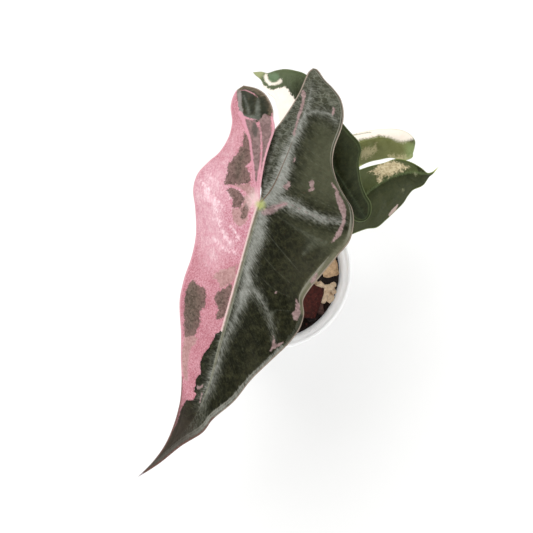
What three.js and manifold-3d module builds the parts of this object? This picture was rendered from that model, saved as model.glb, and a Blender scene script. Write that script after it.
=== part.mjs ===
// A variegated alocasia in a small white nursery pot: four long arrow-shaped leaves on their petioles,
// a short stem, a chunky bark and pumice mix, and the pot.
// Millimetres, +Z up. The origin is the middle of the pot's foot, and -Y is the side that is looked at.
import * as THREE from 'three';
import { mergeVertices } from 'three/addons/utils/BufferGeometryUtils.js';
import Module from 'manifold-3d';

const wasm = await Module();
wasm.setup();

// The pot
const POT_HEIGHT = 75;
const RIM_RADIUS = 42.5;
const FOOT_RADIUS = 30;
const POT_WALL = 1.3;
const RIM_BAND = 9;
const RIM_STEP = 1.7;
const LIP = 1.8;
const FLOOR = 3.5;
const FOOT_RECESS = 2;
const FOOT_WIDTH = 4;
const PAD_RADIUS = 12;
const DRAIN_RADIUS = 3;
const DRAIN_CIRCLE = 19;
const DRAIN_COUNT = 6;
const POT_SIDES = 56;

// The potting mix
const MIX_TOP = 57;
const MIX_UNEVEN = 1.6;
const MIX_SIDES = 32;
const CHIP_COUNT = 34;
const CHIP_INNER = 15;
const CHIP_OUTER = 34;
const CHIP_LEAST = 6;
const CHIP_MOST = 12;
const CHIP_SEED = 41;

// The stem and the petioles
const STEM_RADIUS = 9;
const STEM_FOOT = 35;
const STEM_TOP = 70;
const PETIOLE_FOOT_RADIUS = 2.6;
const PETIOLE_TOP_RADIUS = 1.9;
const PETIOLE_SIDES = 8;
const PETIOLE_UPRIGHT = 4;
const CLEARANCE = 0.3;

// The leaf blades
const BLADE_THICKNESS = 0.8;
const STEEPEST = 0.3;
const KEEL_AT_JOINT = 4;
const KEEL_AT_TIP = 0.4;
const CROWDING = 1.25;
const WELD = 1e-3;

// Each leaf is given in its own frame: the joint of blade and petiole at 0, +X along the leaf towards its
// tip, +Y to the left of that and +Z up. heading is the way that the tip points, from +X of the plant.
// A side has its vein from the joint to the end of the basal lobe, its outer edge from the tip to the
// same place, and its inner edge from the notch between the lobes. shoulder is the point of the outer
// edge that lies across from the joint, and arch is how far the blade bows up for each mm of width.
const LEAVES = [
  {
    name: 'front',
    color: 0x8f5a63,
    joint: [-6.5, 23.5, 190],
    heading: -115,
    rows: [26, 16],
    columns: [0, 0.05, 0.14, 0.28, 0.45, 0.63, 0.82, 1],
    innerColumns: 4,
    tip: [139, 0, -52],
    midrib: [[117, 8.5, -42], [99, 13, -34], [84, 13, -28], [65, 10, -20], [36, 5.5, -8], [11, 1.5, -1]],
    notch: [0, 0, 0],
    left: {
      arch: -0.1,
      innerArch: 0.05,
      shoulder: 13,
      lobe: [-68, -5, -16],
      vein: [[-8, 2, 0.5], [-21, 2, 1], [-37, 1, 0], [-50, 0, -4]],
      outer: [
        [133.5, 3.5, -49], [127.5, 7, -46], [115, 13, -40], [104.5, 19.5, -36], [97.5, 21, -34],
        [85, 26.5, -29], [72.5, 29.5, -26], [60.5, 34, -23], [50, 38, -20], [42, 39.5, -18],
        [35.5, 38.5, -16], [30, 35.5, -14], [24, 36, -13], [16.5, 38, -12.5], [5.5, 41, -12],
        [-2, 43, -11], [-7, 42.5, -10], [-12.5, 40.5, -9], [-16.5, 37.5, -7.5], [-19, 33.5, -6.5],
        [-22.5, 28.5, -6], [-27, 24, -5.5], [-30.5, 21.5, -5], [-36.5, 19.5, -5], [-47, 18.5, -6],
        [-53.5, 16.5, -7.5], [-59, 12.5, -9], [-62.5, 7, -11], [-64.5, 2.5, -12.5], [-68, -3, -15],
      ],
      inner: [
        [-6, -2, -1.6], [-9, -3.9, -2.2], [-17.5, -6.5, -2.5], [-25.5, -7.5, -2.5],
        [-32.5, -8, -2.5], [-37.5, -7, -3], [-45, -6, -5], [-54, -5.5, -8], [-61.5, -6, -12],
        [-65.5, -6, -14.5],
      ],
    },
    right: {
      arch: 0.06,
      innerArch: 0.04,
      shoulder: 14,
      lobe: [-48.5, -31, -22],
      vein: [[-8, -5.5, 0.5], [-17, -11.5, 0], [-26, -17, -2.5], [-38, -24.5, -10]],
      outer: [
        [129, 3.5, -49], [119, 5.5, -45], [109, 5.5, -42], [96.5, 3.5, -39], [87, 0, -37],
        [78, -4.5, -36], [67, -9.5, -34], [57.5, -14.5, -32], [52.5, -16.5, -30], [43, -18.5, -28],
        [33, -19.5, -27], [23, -22, -27], [12, -27.5, -27], [4.5, -32, -26], [-2.5, -33, -24],
        [-9.5, -30.5, -21], [-15.5, -27.5, -18], [-23.5, -26.5, -16], [-30, -28, -16],
        [-37, -32, -18.5], [-44.5, -33, -21.5],
      ],
      inner: [
        [-6.5, -2.5, 0.5], [-17, -5.5, 1], [-26, -7, 0.5], [-33, -8, -0.5], [-37, -10.5, -3],
        [-41, -12.5, -6.5], [-44.5, -15.5, -10], [-47.5, -19.5, -13.5], [-49, -24, -17.5],
        [-49, -27.5, -20],
      ],
    },
    route: [[-5.2, -0.9, 62], [-6.5, -0.5, 84], [-8, 7, 125], [-7.5, 18, 165]],
  },
  {
    name: 'back',
    color: 0x4b5c33,
    joint: [28.5, 41, 163],
    heading: 124,
    rows: [16, 9],
    columns: [0, 0.07, 0.25, 0.5, 0.75, 1],
    innerColumns: 3,
    tip: [69.5, 0, -47],
    midrib: [[56, -5, -31], [42, -6.5, -17], [27, -6, -7], [12, -3.5, -2]],
    notch: [-4.5, 1.5, -1],
    left: {
      arch: 0.08,
      innerArch: 0.05,
      shoulder: 10,
      lobe: [-19, 14.5, -13],
      vein: [[-10, 6, -3]],
      outer: [
        [67, 0, -44.5], [63, -0.5, -41], [58, 1, -35.5], [53.5, 1.5, -31], [49, 1, -27],
        [44.5, 2.5, -23.5], [39, 5, -20.5], [30.5, 9, -17], [21, 12.5, -14], [11, 15.5, -12],
        [0, 18, -11], [-10.5, 18, -11],
      ],
      inner: [[-11, 4.5, -5], [-16, 9, -10]],
    },
    right: {
      arch: 0.08,
      innerArch: 0.05,
      shoulder: 10,
      lobe: [-26, -0.5, -13.5],
      vein: [[-8.5, 0, -1.5], [-18, -0.5, -6.5]],
      outer: [
        [66.5, -3, -42], [63, -4.5, -36], [60.5, -7.5, -29], [57.5, -11, -23.5], [53, -14, -18],
        [48, -16.5, -14], [36.5, -17.5, -9], [17.5, -16.5, -5], [10.5, -17, -3.5], [6, -17.5, -3],
        [2.5, -16.5, -3], [-1.5, -12.5, -3.5], [-6, -10, -4.5], [-11, -8, -6], [-16.5, -7, -8],
        [-20.5, -7, -10], [-24, -5, -11.5], [-25.5, -3, -12.5],
      ],
      inner: [[-15.5, 3.5, -8], [-22.5, 4, -12], [-25, 2, -13.5]],
    },
    route: [[-2, 4.9, 62], [-1, 9, 84], [8, 22, 122], [20, 35, 146]],
  },
  {
    name: 'right',
    color: 0x3f4a2c,
    joint: [35.5, 28, 128],
    heading: 25,
    rows: [15, 7],
    columns: [0, 0.07, 0.25, 0.5, 0.75, 1],
    innerColumns: 3,
    tip: [53.5, 0, -14],
    midrib: [[49, -1.5, -14], [46, -0.8, -13], [37.5, 3.2, -8], [26.5, 4.5, -1], [16.5, 3, 2.5], [6.5, 1, 2]],
    notch: [-2.5, 1.5, -1.5],
    left: {
      arch: 0.06,
      innerArch: 0.05,
      shoulder: 10,
      lobe: [-12, 13, -13],
      vein: [[-6, 6, -3]],
      outer: [
        [51.5, -0.5, -14], [49.5, -1, -14], [47, -0.5, -13.5], [45, 3, -12.5], [41.5, 7.5, -11],
        [38, 10.5, -9.5], [34, 12.5, -8.5], [28.5, 13, -8], [21, 14.5, -8], [12, 15.5, -9],
        [3, 16, -9],
      ],
      inner: [[-5, 3.5, -4], [-10, 8, -9]],
    },
    right: {
      arch: 0.06,
      innerArch: 0.05,
      shoulder: 10,
      lobe: [-16, -8, -14],
      vein: [[-8, -4, -3]],
      outer: [
        [49.5, -2, -14.5], [47.5, -2.5, -17], [43, -5, -18.5], [37.5, -5, -19], [34, -6.5, -19],
        [30, -9, -19], [24.5, -11, -19], [18.5, -13, -19], [12.5, -14.5, -19], [7.5, -13, -19],
        [2, -12.5, -18], [-7, -12, -16],
      ],
      inner: [[-6, -0.5, -5], [-13, -3, -11]],
    },
    route: [[4.7, -2.5, 62], [9, 0, 79], [19, 13, 96], [31, 25, 109]],
  },
  {
    name: 'low',
    color: 0x4f5f2f,
    joint: [35.5, 56, 112],
    heading: 9,
    rows: [14, 7],
    columns: [0, 0.07, 0.25, 0.5, 0.75, 1],
    innerColumns: 3,
    tip: [40, 0, -28],
    midrib: [[35, 3.5, -19], [28, 6.5, -11.5], [21, 7.5, -6], [13, 6.5, -2], [6.5, 4.5, 0]],
    notch: [-3, 0, -1.5],
    left: {
      arch: 0.08,
      innerArch: 0.05,
      shoulder: 8,
      lobe: [-12, 12, -13],
      vein: [[-6, 6, -4]],
      outer: [
        [41, 2.5, -26.5], [41.5, 5.5, -24], [39.5, 8.5, -21], [35.5, 11, -17.5], [29.5, 12.5, -14.5],
        [22.5, 13, -12.5], [16, 13, -11], [7.5, 12.5, -11], [1, 13, -11],
      ],
      inner: [[-5, 3, -4], [-10, 8, -9]],
    },
    right: {
      arch: 0.08,
      innerArch: 0.05,
      shoulder: 7,
      lobe: [-14, -8, -13],
      vein: [[-7, -3, -4]],
      outer: [
        [39.5, -2, -28.5], [37, -3, -28], [32.5, -3, -25], [27, -1.5, -21], [20.5, -2, -18],
        [15.5, -2.5, -16], [10, -4, -15], [2, -8, -14], [-6, -10, -13],
      ],
      inner: [[-6, -1, -4], [-12, -3, -9]],
    },
    route: [[3.9, 3.5, 62], [6.5, 8, 74], [20, 31, 85], [33, 51, 91]],
  },
];

// A seeded random number from 0 to 1
function randomFrom(seed) {
  let state = seed;
  return () => {
    state = (state + 0x6d2b79f5) | 0;
    let t = Math.imul(state ^ (state >>> 15), 1 | state);
    t = (t + Math.imul(t ^ (t >>> 7), 61 | t)) ^ t;
    return ((t ^ (t >>> 14)) >>> 0) / 4294967296;
  };
}

const vector = (point) => new THREE.Vector3(...point);

// Joins the vertices that coincide and drops the triangles that closed up
function welded(geometry) {
  const bare = new THREE.BufferGeometry();
  bare.setAttribute('position', geometry.getAttribute('position'));
  if (geometry.index) bare.setIndex(geometry.index);
  const merged = mergeVertices(bare, WELD);
  const corners = merged.index.array;
  const kept = [];
  for (let i = 0; i < corners.length; i += 3) {
    const [a, b, c] = corners.slice(i, i + 3);
    if (a !== b && b !== c && c !== a) kept.push(a, b, c);
  }
  merged.setIndex(kept);
  return merged;
}

function solid(geometry) {
  const merged = welded(geometry);
  return new wasm.Manifold(new wasm.Mesh({
    numProp: 3,
    vertProperties: new Float32Array(merged.getAttribute('position').array),
    triVerts: new Uint32Array(merged.index.array),
  }));
}

// Keeps the outer skin of the largest body, so that a sealed hollow is filled and a loose scrap dropped
function largest(manifold) {
  return manifold.decompose().reduce((best, next) => (next.volume() > best.volume() ? next : best));
}

function geometryOf(manifold) {
  const mesh = manifold.getMesh();
  const geometry = new THREE.BufferGeometry();
  geometry.setAttribute('position', new THREE.BufferAttribute(mesh.vertProperties, 3));
  geometry.setIndex(new THREE.BufferAttribute(mesh.triVerts, 1));
  return geometry;
}

// Turns a profile of [radius, height] points about the Z axis
function turned(profile, sides) {
  const geometry = new THREE.LatheGeometry(profile.map(([r, z]) => new THREE.Vector2(r, z)), sides);
  geometry.rotateX(Math.PI / 2);
  return geometry;
}

function piece(name, geometry, color, roughness) {
  geometry.computeVertexNormals();
  const material = new THREE.MeshStandardMaterial({ color, roughness, metalness: 0 });
  const mesh = new THREE.Mesh(geometry, material);
  mesh.name = name;
  return mesh;
}

// Outer radius of the pot's wall at a height, below the rim band
const bandFoot = POT_HEIGHT - RIM_BAND;
const bandRadius = RIM_RADIUS - 1;
const wallTopRadius = bandRadius - RIM_STEP;
const wallRadius = (z) => FOOT_RADIUS + ((wallTopRadius - FOOT_RADIUS) * z) / bandFoot;

// The pot: a tapered thin wall, a wider band below a rounded lip, and a foot ring with drain holes inside it
function pot() {
  const footInside = FOOT_RADIUS - FOOT_WIDTH;
  const profile = [
    [0, 0],
    [PAD_RADIUS, 0],
    [PAD_RADIUS + 1, FOOT_RECESS],
    [footInside - 1, FOOT_RECESS],
    [footInside, 0],
    [FOOT_RADIUS - 0.6, 0],
    [FOOT_RADIUS, 0.8],
    [wallTopRadius, bandFoot],
    [bandRadius, bandFoot + 0.6],
    [RIM_RADIUS, POT_HEIGHT - 0.8],
    [RIM_RADIUS - 0.6, POT_HEIGHT],
    [RIM_RADIUS - LIP + 0.6, POT_HEIGHT],
    [RIM_RADIUS - LIP, POT_HEIGHT - 0.8],
    [bandRadius - POT_WALL, bandFoot + 2.2],
    [wallTopRadius - POT_WALL, bandFoot],
    [wallRadius(FLOOR) - POT_WALL, FLOOR + 1.5],
    [wallRadius(FLOOR) - POT_WALL - 1.5, FLOOR],
    [0, FLOOR],
  ];
  let shell = solid(turned(profile, POT_SIDES));
  for (let i = 0; i < DRAIN_COUNT; i += 1) {
    const angle = (2 * Math.PI * (i + 0.5)) / DRAIN_COUNT;
    const drill = new THREE.CylinderGeometry(DRAIN_RADIUS, DRAIN_RADIUS, 3 * FLOOR, 16);
    drill.rotateX(Math.PI / 2);
    drill.translate(DRAIN_CIRCLE * Math.cos(angle), DRAIN_CIRCLE * Math.sin(angle), FLOOR);
    shell = shell.subtract(solid(drill));
  }
  return piece('pot', geometryOf(shell), 0xeceef2, 0.4);
}

// One chip of bark or pumice: a block with its corners pushed in and out
function chip(random, [length, width, height], [x, y, z], turn, tilt) {
  const block = welded(new THREE.BoxGeometry(length, width, height));
  const corners = block.getAttribute('position');
  for (let i = 0; i < corners.count; i += 1) {
    corners.setXYZ(
      i,
      corners.getX(i) * (0.75 + 0.35 * random()),
      corners.getY(i) * (0.75 + 0.35 * random()),
      corners.getZ(i) * (0.8 + 0.3 * random()),
    );
  }
  block.rotateX(tilt);
  block.rotateZ(turn);
  block.translate(x, y, z);
  return solid(block);
}

// The chips that show beside the front leaf: size, place and turn of each
const SHOWN_CHIPS = [
  { size: [8, 12, 7], at: [31, 3.5, 58.5], turn: 0.3 },
  { size: [12, 7, 6], at: [30, -4, 57.5], turn: 0.15 },
  { size: [6, 6, 6], at: [26, -9.5, 58.5], turn: 0.8 },
  { size: [6, 5, 5], at: [31, -9.5, 58], turn: 0.2 },
  { size: [6, 5, 5], at: [28, -14, 58], turn: 1.1 },
  { size: [13, 19, 7], at: [20, -16, 58.5], turn: -0.25 },
  { size: [6, 6, 6], at: [21.5, -24.5, 57.5], turn: 0.6 },
  { size: [5, 6, 5], at: [25.5, -20.5, 57.5], turn: 0.1 },
];

// The potting mix fills the pot to its uneven top, with chips sunk in it and a plain hole for the stem
function pottingMix() {
  const random = randomFrom(CHIP_SEED);
  const inside = (z) => wallRadius(z) - POT_WALL - CLEARANCE;
  const foot = FLOOR + CLEARANCE;
  const topEdge = inside(MIX_TOP);
  const body = [
    [0, foot],
    [inside(foot) - 1.5, foot],
    [inside(foot), foot + 1.5],
    [topEdge, MIX_TOP],
    [0.82 * topEdge, MIX_TOP],
    [0.6 * topEdge, MIX_TOP],
    [0.38 * topEdge, MIX_TOP],
    [0, MIX_TOP],
  ];
  const ground = welded(turned(body, MIX_SIDES));
  const spots = ground.getAttribute('position');
  for (let i = 0; i < spots.count; i += 1) {
    const edge = Math.hypot(spots.getX(i), spots.getY(i)) > topEdge - WELD;
    const lift = MIX_UNEVEN * (2 * random() - 1);
    if (spots.getZ(i) > MIX_TOP - WELD && !edge) spots.setZ(i, MIX_TOP + lift);
  }
  const chips = SHOWN_CHIPS.map(({ size, at, turn }) => chip(random, size, at, turn, 0.2 * random()));
  const shown = SHOWN_CHIPS.map(({ at }) => at);
  for (let i = 0; i < CHIP_COUNT; i += 1) {
    const angle = 2.4 * i + 0.5 * random();
    const out = CHIP_INNER + (CHIP_OUTER - CHIP_INNER) * Math.sqrt(random());
    const length = CHIP_LEAST + (CHIP_MOST - CHIP_LEAST) * random();
    const size = [length, length * (0.5 + 0.3 * random()), length * 0.6];
    const at = [out * Math.cos(angle), out * Math.sin(angle), MIX_TOP + 1.2 * random()];
    const taken = shown.some(([x, y]) => Math.hypot(x - at[0], y - at[1]) < CHIP_LEAST);
    const turn = Math.PI * random();
    const tilt = 0.8 * (random() - 0.5);
    if (!taken) chips.push(chip(random, size, at, turn, tilt));
  }
  const bounds = [
    [0, foot],
    [inside(foot), foot],
    [inside(bandFoot), bandFoot],
    [0, bandFoot],
  ];
  const stemHole = [
    [0, STEM_FOOT - CLEARANCE],
    [STEM_RADIUS + CLEARANCE, STEM_FOOT - CLEARANCE],
    [STEM_RADIUS + CLEARANCE, STEM_TOP + 2 * MIX_UNEVEN],
    [0, STEM_TOP + 2 * MIX_UNEVEN],
  ];
  const filled = chips.reduce((whole, next) => whole.add(next), solid(ground));
  const mix = filled.intersect(solid(turned(bounds, POT_SIDES))).subtract(solid(turned(stemHole, 24)));
  return piece('potting_mix', geometryOf(largest(mix)), 0x3a2620, 0.95);
}

// A round tapering stalk along a smooth route, closed at both ends
function stalk(points, footRadius, topRadius, steps) {
  const path = new THREE.CatmullRomCurve3(points.map(vector), false, 'centripetal');
  const frames = path.computeFrenetFrames(steps, false);
  const positions = [];
  const corners = [];
  for (let i = 0; i <= steps; i += 1) {
    const centre = path.getPointAt(i / steps);
    const radius = footRadius + (topRadius - footRadius) * Math.sqrt(i / steps);
    for (let j = 0; j < PETIOLE_SIDES; j += 1) {
      const angle = (2 * Math.PI * j) / PETIOLE_SIDES;
      const out = frames.normals[i].clone().multiplyScalar(radius * Math.cos(angle));
      out.addScaledVector(frames.binormals[i], radius * Math.sin(angle));
      positions.push(...out.add(centre).toArray());
    }
  }
  const at = (i, j) => i * PETIOLE_SIDES + (j % PETIOLE_SIDES);
  for (let i = 0; i < steps; i += 1) {
    for (let j = 0; j < PETIOLE_SIDES; j += 1) {
      corners.push(at(i, j), at(i, j + 1), at(i + 1, j + 1), at(i, j), at(i + 1, j + 1), at(i + 1, j));
    }
  }
  for (let j = 1; j < PETIOLE_SIDES - 1; j += 1) {
    corners.push(at(0, 0), at(0, j + 1), at(0, j));
    corners.push(at(steps, 0), at(steps, j), at(steps, j + 1));
  }
  const geometry = new THREE.BufferGeometry();
  geometry.setAttribute('position', new THREE.Float32BufferAttribute(positions, 3));
  geometry.setIndex(corners);
  return geometry;
}

// A petiole ends upright, just below the keel of its blade
function petioleRoute({ joint, route }) {
  const [x, y, z] = joint;
  const top = z - BLADE_THICKNESS - KEEL_AT_JOINT - CLEARANCE;
  return [...route, [x, y, top - PETIOLE_UPRIGHT], [x, y, top]];
}

const petioleSteps = (leaf) => Math.round((leaf.joint[2] - STEM_TOP) / 7) + 6;

function petiole(leaf) {
  const geometry = stalk(petioleRoute(leaf), PETIOLE_FOOT_RADIUS, PETIOLE_TOP_RADIUS, petioleSteps(leaf));
  return piece(`${leaf.name}_petiole`, geometry, 0x6f7f4a, 0.5);
}

// The stem: a short knob with a socket for the foot of each petiole
function stemBase() {
  const profile = [
    [0, STEM_FOOT],
    [4, STEM_FOOT + 0.6],
    [7.5, STEM_FOOT + 4],
    [STEM_RADIUS, STEM_FOOT + 11],
    [STEM_RADIUS, STEM_TOP - 11],
    [STEM_RADIUS - 0.8, STEM_TOP - 5],
    [STEM_RADIUS - 2.6, STEM_TOP - 1.6],
    [4, STEM_TOP - 0.2],
    [0, STEM_TOP],
  ];
  const sockets = LEAVES.map((leaf) => {
    const wider = [PETIOLE_FOOT_RADIUS + CLEARANCE, PETIOLE_TOP_RADIUS + CLEARANCE];
    const points = petioleRoute(leaf);
    const [x, y, z] = points[0];
    return solid(stalk([[x, y, z - CLEARANCE], ...points.slice(1)], ...wider, petioleSteps(leaf)));
  });
  const knob = sockets.reduce((whole, next) => whole.subtract(next), solid(turned(profile, 24)));
  return piece('stem_base', geometryOf(knob), 0x6b5a3c, 0.8);
}

// Points along a smooth curve through the given ones, between two of them, crowded together at one end
function sampled(points, first, last, count, crowdedAtStart) {
  const curve = new THREE.CatmullRomCurve3(points.map(vector), false, 'centripetal');
  const fine = 20 * (last - first);
  const dense = Array.from({ length: fine + 1 }, (_, i) => {
    return curve.getPoint((first + ((last - first) * i) / fine) / (points.length - 1));
  });
  const reach = [0];
  for (let i = 1; i <= fine; i += 1) reach.push(reach[i - 1] + dense[i].distanceTo(dense[i - 1]));
  return Array.from({ length: count + 1 }, (_, step) => {
    const part = step / count;
    const share = crowdedAtStart ? part ** CROWDING : 1 - (1 - part) ** CROWDING;
    const length = reach[fine] * share;
    const i = Math.min(Math.max(reach.findIndex((value) => value >= length), 1), fine);
    return dense[i - 1].clone().lerp(dense[i], (length - reach[i - 1]) / (reach[i] - reach[i - 1]));
  });
}

// A blade as a sheet: its vertices, its triangles seen from above, and how near each vertex is to the keel
function bladeSheet(leaf) {
  const [toJoint, toLobe] = leaf.rows;
  const lastRow = toJoint + toLobe;
  const positions = [];
  const keel = [];
  const corners = [];
  const known = new Map();
  const add = (point, keelHere) => {
    const key = point.toArray().map((value) => Math.round(value / WELD)).join();
    if (!known.has(key)) {
      known.set(key, keel.length);
      positions.push(point);
      keel.push(keelHere);
    }
    return known.get(key);
  };
  const triangle = (a, b, c, up) => {
    if (a === b || b === c || c === a) return;
    corners.push(...(up ? [a, b, c] : [a, c, b]));
  };
  const grid = (rows, up) => {
    for (let i = 1; i < rows.length; i += 1) {
      for (let j = 1; j < rows[i].length; j += 1) {
        triangle(rows[i - 1][j - 1], rows[i - 1][j], rows[i][j], up);
        triangle(rows[i - 1][j - 1], rows[i][j], rows[i][j - 1], up);
      }
    }
  };
  const across = (from, to, s, arch) => {
    const point = from.clone().lerp(to, s);
    point.z += arch * from.distanceTo(to) * 4 * s * (1 - s);
    return point;
  };
  const midrib = [leaf.tip, ...leaf.midrib, [0, 0, 0]];
  const midribRows = sampled(midrib, 0, midrib.length - 1, toJoint, true);
  for (const [side, up] of [[leaf.left, true], [leaf.right, false]]) {
    const vein = [[0, 0, 0], ...side.vein, side.lobe];
    const outer = [leaf.tip, ...side.outer, side.lobe];
    const inner = [leaf.notch, ...side.inner, side.lobe];
    const shoulder = side.shoulder + 1;
    const spine = [...midribRows, ...sampled(vein, 0, vein.length - 1, toLobe, false).slice(1)];
    const edge = [
      ...sampled(outer, 0, shoulder, toJoint, true),
      ...sampled(outer, shoulder, outer.length - 1, toLobe, false).slice(1),
    ];
    const rib = (i) => {
      const part = i <= toJoint ? i / toJoint : (lastRow - i) / toLobe;
      return KEEL_AT_TIP + (KEEL_AT_JOINT - KEEL_AT_TIP) * part ** 3;
    };
    grid(spine.map((from, i) => leaf.columns.map((s, j) => {
      const keelHere = j === 0 ? rib(i) : 0;
      return add(across(from, edge[i], s, side.arch), keelHere);
    })), up);
    const innerEdge = sampled(inner, 0, inner.length - 1, toLobe, false);
    grid(innerEdge.map((to, i) => Array.from({ length: leaf.innerColumns + 1 }, (_, j) => {
      const keelHere = j === 0 ? rib(toJoint + i) : 0;
      const arch = i === 0 ? 0 : side.innerArch;
      return add(across(spine[toJoint + i], to, j / leaf.innerColumns, arch), keelHere);
    })), !up);
  }
  return { positions, keel, corners };
}

// A blade as a solid: the sheet, the same sheet straight below it, further down where the blade is steep
// and along the keel, and a wall round the edge
function blade(leaf) {
  const { positions, keel, corners } = bladeSheet(leaf);
  const count = positions.length;
  const normals = positions.map(() => new THREE.Vector3());
  const edges = new Map();
  for (let i = 0; i < corners.length; i += 3) {
    const [a, b, c] = corners.slice(i, i + 3);
    const along = positions[b].clone().sub(positions[a]);
    const face = along.cross(positions[c].clone().sub(positions[a]));
    for (const corner of [a, b, c]) normals[corner].add(face);
    for (const [from, to] of [[a, b], [b, c], [c, a]]) edges.set(`${from},${to}`, [from, to]);
  }
  const below = positions.map((point, i) => {
    const level = Math.max(normals[i].normalize().z, STEEPEST);
    return point.clone().setZ(point.z - BLADE_THICKNESS / level - keel[i]);
  });
  const all = [...corners];
  for (let i = 0; i < corners.length; i += 3) {
    all.push(corners[i] + count, corners[i + 2] + count, corners[i + 1] + count);
  }
  for (const [from, to] of edges.values()) {
    if (edges.has(`${to},${from}`)) continue;
    all.push(to, from, from + count, to, from + count, to + count);
  }
  const geometry = new THREE.BufferGeometry();
  const flat = [...positions, ...below].flatMap((point) => point.toArray());
  geometry.setAttribute('position', new THREE.Float32BufferAttribute(flat, 3));
  geometry.setIndex(all);
  const mesh = piece(`${leaf.name}_blade`, geometry, leaf.color, 0.45);
  mesh.position.set(...leaf.joint);
  mesh.rotation.z = THREE.MathUtils.degToRad(leaf.heading);
  return mesh;
}

const plant = new THREE.Group();
plant.add(pot(), pottingMix(), stemBase());
for (const leaf of LEAVES) plant.add(petiole(leaf), blade(leaf));

export default plant;
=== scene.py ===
import math
import random
from dataclasses import dataclass

import bmesh
import bpy
import numpy as np
from mathutils import Matrix, Vector


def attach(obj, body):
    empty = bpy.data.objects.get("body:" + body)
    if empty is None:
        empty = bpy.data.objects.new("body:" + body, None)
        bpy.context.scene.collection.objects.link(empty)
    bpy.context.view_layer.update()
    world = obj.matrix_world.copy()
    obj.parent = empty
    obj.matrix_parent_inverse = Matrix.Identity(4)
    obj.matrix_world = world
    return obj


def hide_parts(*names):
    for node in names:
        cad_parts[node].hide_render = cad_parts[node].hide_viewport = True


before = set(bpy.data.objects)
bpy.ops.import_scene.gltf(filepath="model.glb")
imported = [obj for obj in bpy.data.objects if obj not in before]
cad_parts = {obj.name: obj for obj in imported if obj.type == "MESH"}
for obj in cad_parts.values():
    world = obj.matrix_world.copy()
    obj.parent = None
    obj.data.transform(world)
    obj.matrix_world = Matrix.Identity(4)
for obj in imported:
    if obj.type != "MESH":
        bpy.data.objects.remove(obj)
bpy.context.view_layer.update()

# Pot: a 3.5 inch round nursery pot of white polypropylene, injection moulded in
# one piece, with a wider band under its rolled rim and six drain holes between
# the foot ring and the pad in the middle. Sizes are in millimetres.
MM = 0.001
POT_HEIGHT = 75
RIM_RADIUS = 42.5
FOOT_RADIUS = 30
POT_WALL = 1.3
BAND_FOOT = POT_HEIGHT - 9
BAND_RADIUS = RIM_RADIUS - 1
WALL_TOP_RADIUS = BAND_RADIUS - 1.7
POT_FLOOR = 3.5
DRAIN_CIRCLE = 19
DRAIN_RADIUS = 3
DRAIN_COUNT = 6
POT_STEPS = 160


def wall_radius(z):
    """Outer radius of the pot's tapered wall at a height."""
    return FOOT_RADIUS + (WALL_TOP_RADIUS - FOOT_RADIUS) * z / BAND_FOOT


def linear(hex_colour):
    """An sRGB hex colour as the linear colour that a shader wants."""
    channels = [int(hex_colour[i:i + 2], 16) / 255 for i in (1, 3, 5)]
    return [c / 12.92 if c < 0.04045 else ((c + 0.055) / 1.055) ** 2.4 for c in channels] + [1.0]


def add(skin, kind, *feeds, **named):
    """Adds a node: feeds go to its sockets in order, capitalised names to sockets, the others to settings."""
    node = skin.node_tree.nodes.new("ShaderNode" + kind)
    sockets = list(enumerate(feeds))
    for name, value in named.items():
        if name[0].isupper():
            sockets.append((name.replace("_", " "), value))
        else:
            setattr(node, name, value)
    for socket, value in sockets:
        if isinstance(value, bpy.types.Node):
            value = value.outputs[0]
        if isinstance(value, bpy.types.NodeSocket):
            skin.node_tree.links.new(value, node.inputs[socket])
        else:
            node.inputs[socket].default_value = linear(value) if isinstance(value, str) else value
    return node


def new_skin(name):
    """An empty material, and its Object coordinates."""
    skin = bpy.data.materials.new(name)
    skin.use_nodes = True
    skin.node_tree.nodes.clear()
    return (skin, add(skin, "TexCoord").outputs["Object"])


def finish_skin(skin, **feeds):
    """Closes a material with one glossy shader."""
    add(skin, "OutputMaterial", Surface=add(skin, "BsdfPrincipled", **feeds))


def per(size):
    """Scale of a pattern whose features are this many millimetres across."""
    return 1 / (size * MM)


def set_up(name, contents):
    """A new object that holds a mesh, a lamp or a lens, linked to the scene."""
    thing = bpy.data.objects.new(name, contents)
    bpy.context.collection.objects.link(thing)
    return thing


def settle(mesh, name, skin, node):
    """Makes a finished mesh a piece of the plant that takes the place of a CAD node."""
    for face in mesh.polygons:
        face.use_smooth = True
    mesh.materials.append(skin)
    piece = set_up(name, mesh)
    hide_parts(node)
    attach(piece, "root")


def mesh_of(bm, name):
    """The mesh that a bmesh holds, in metres, from millimetres."""
    bmesh.ops.scale(bm, vec=(MM, MM, MM), verts=bm.verts)
    mesh = bpy.data.meshes.new(name)
    bm.to_mesh(mesh)
    bm.free()
    return mesh


def turned(profile, steps):
    """A closed body turned from a profile of (radius, height) points that starts and ends on the axis."""
    bm = bmesh.new()
    spots = [bm.verts.new((radius, 0, z)) for radius, z in profile]
    line = [bm.edges.new(pair) for pair in zip(spots, spots[1:])]
    bmesh.ops.spin(bm, geom=spots + line, cent=(0, 0, 0), axis=(0, 0, 1), angle=2 * math.pi, steps=steps,
                   use_merge=True)
    bmesh.ops.remove_doubles(bm, verts=bm.verts, dist=1e-4)
    bmesh.ops.recalc_face_normals(bm, faces=bm.faces)
    return bm


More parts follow.
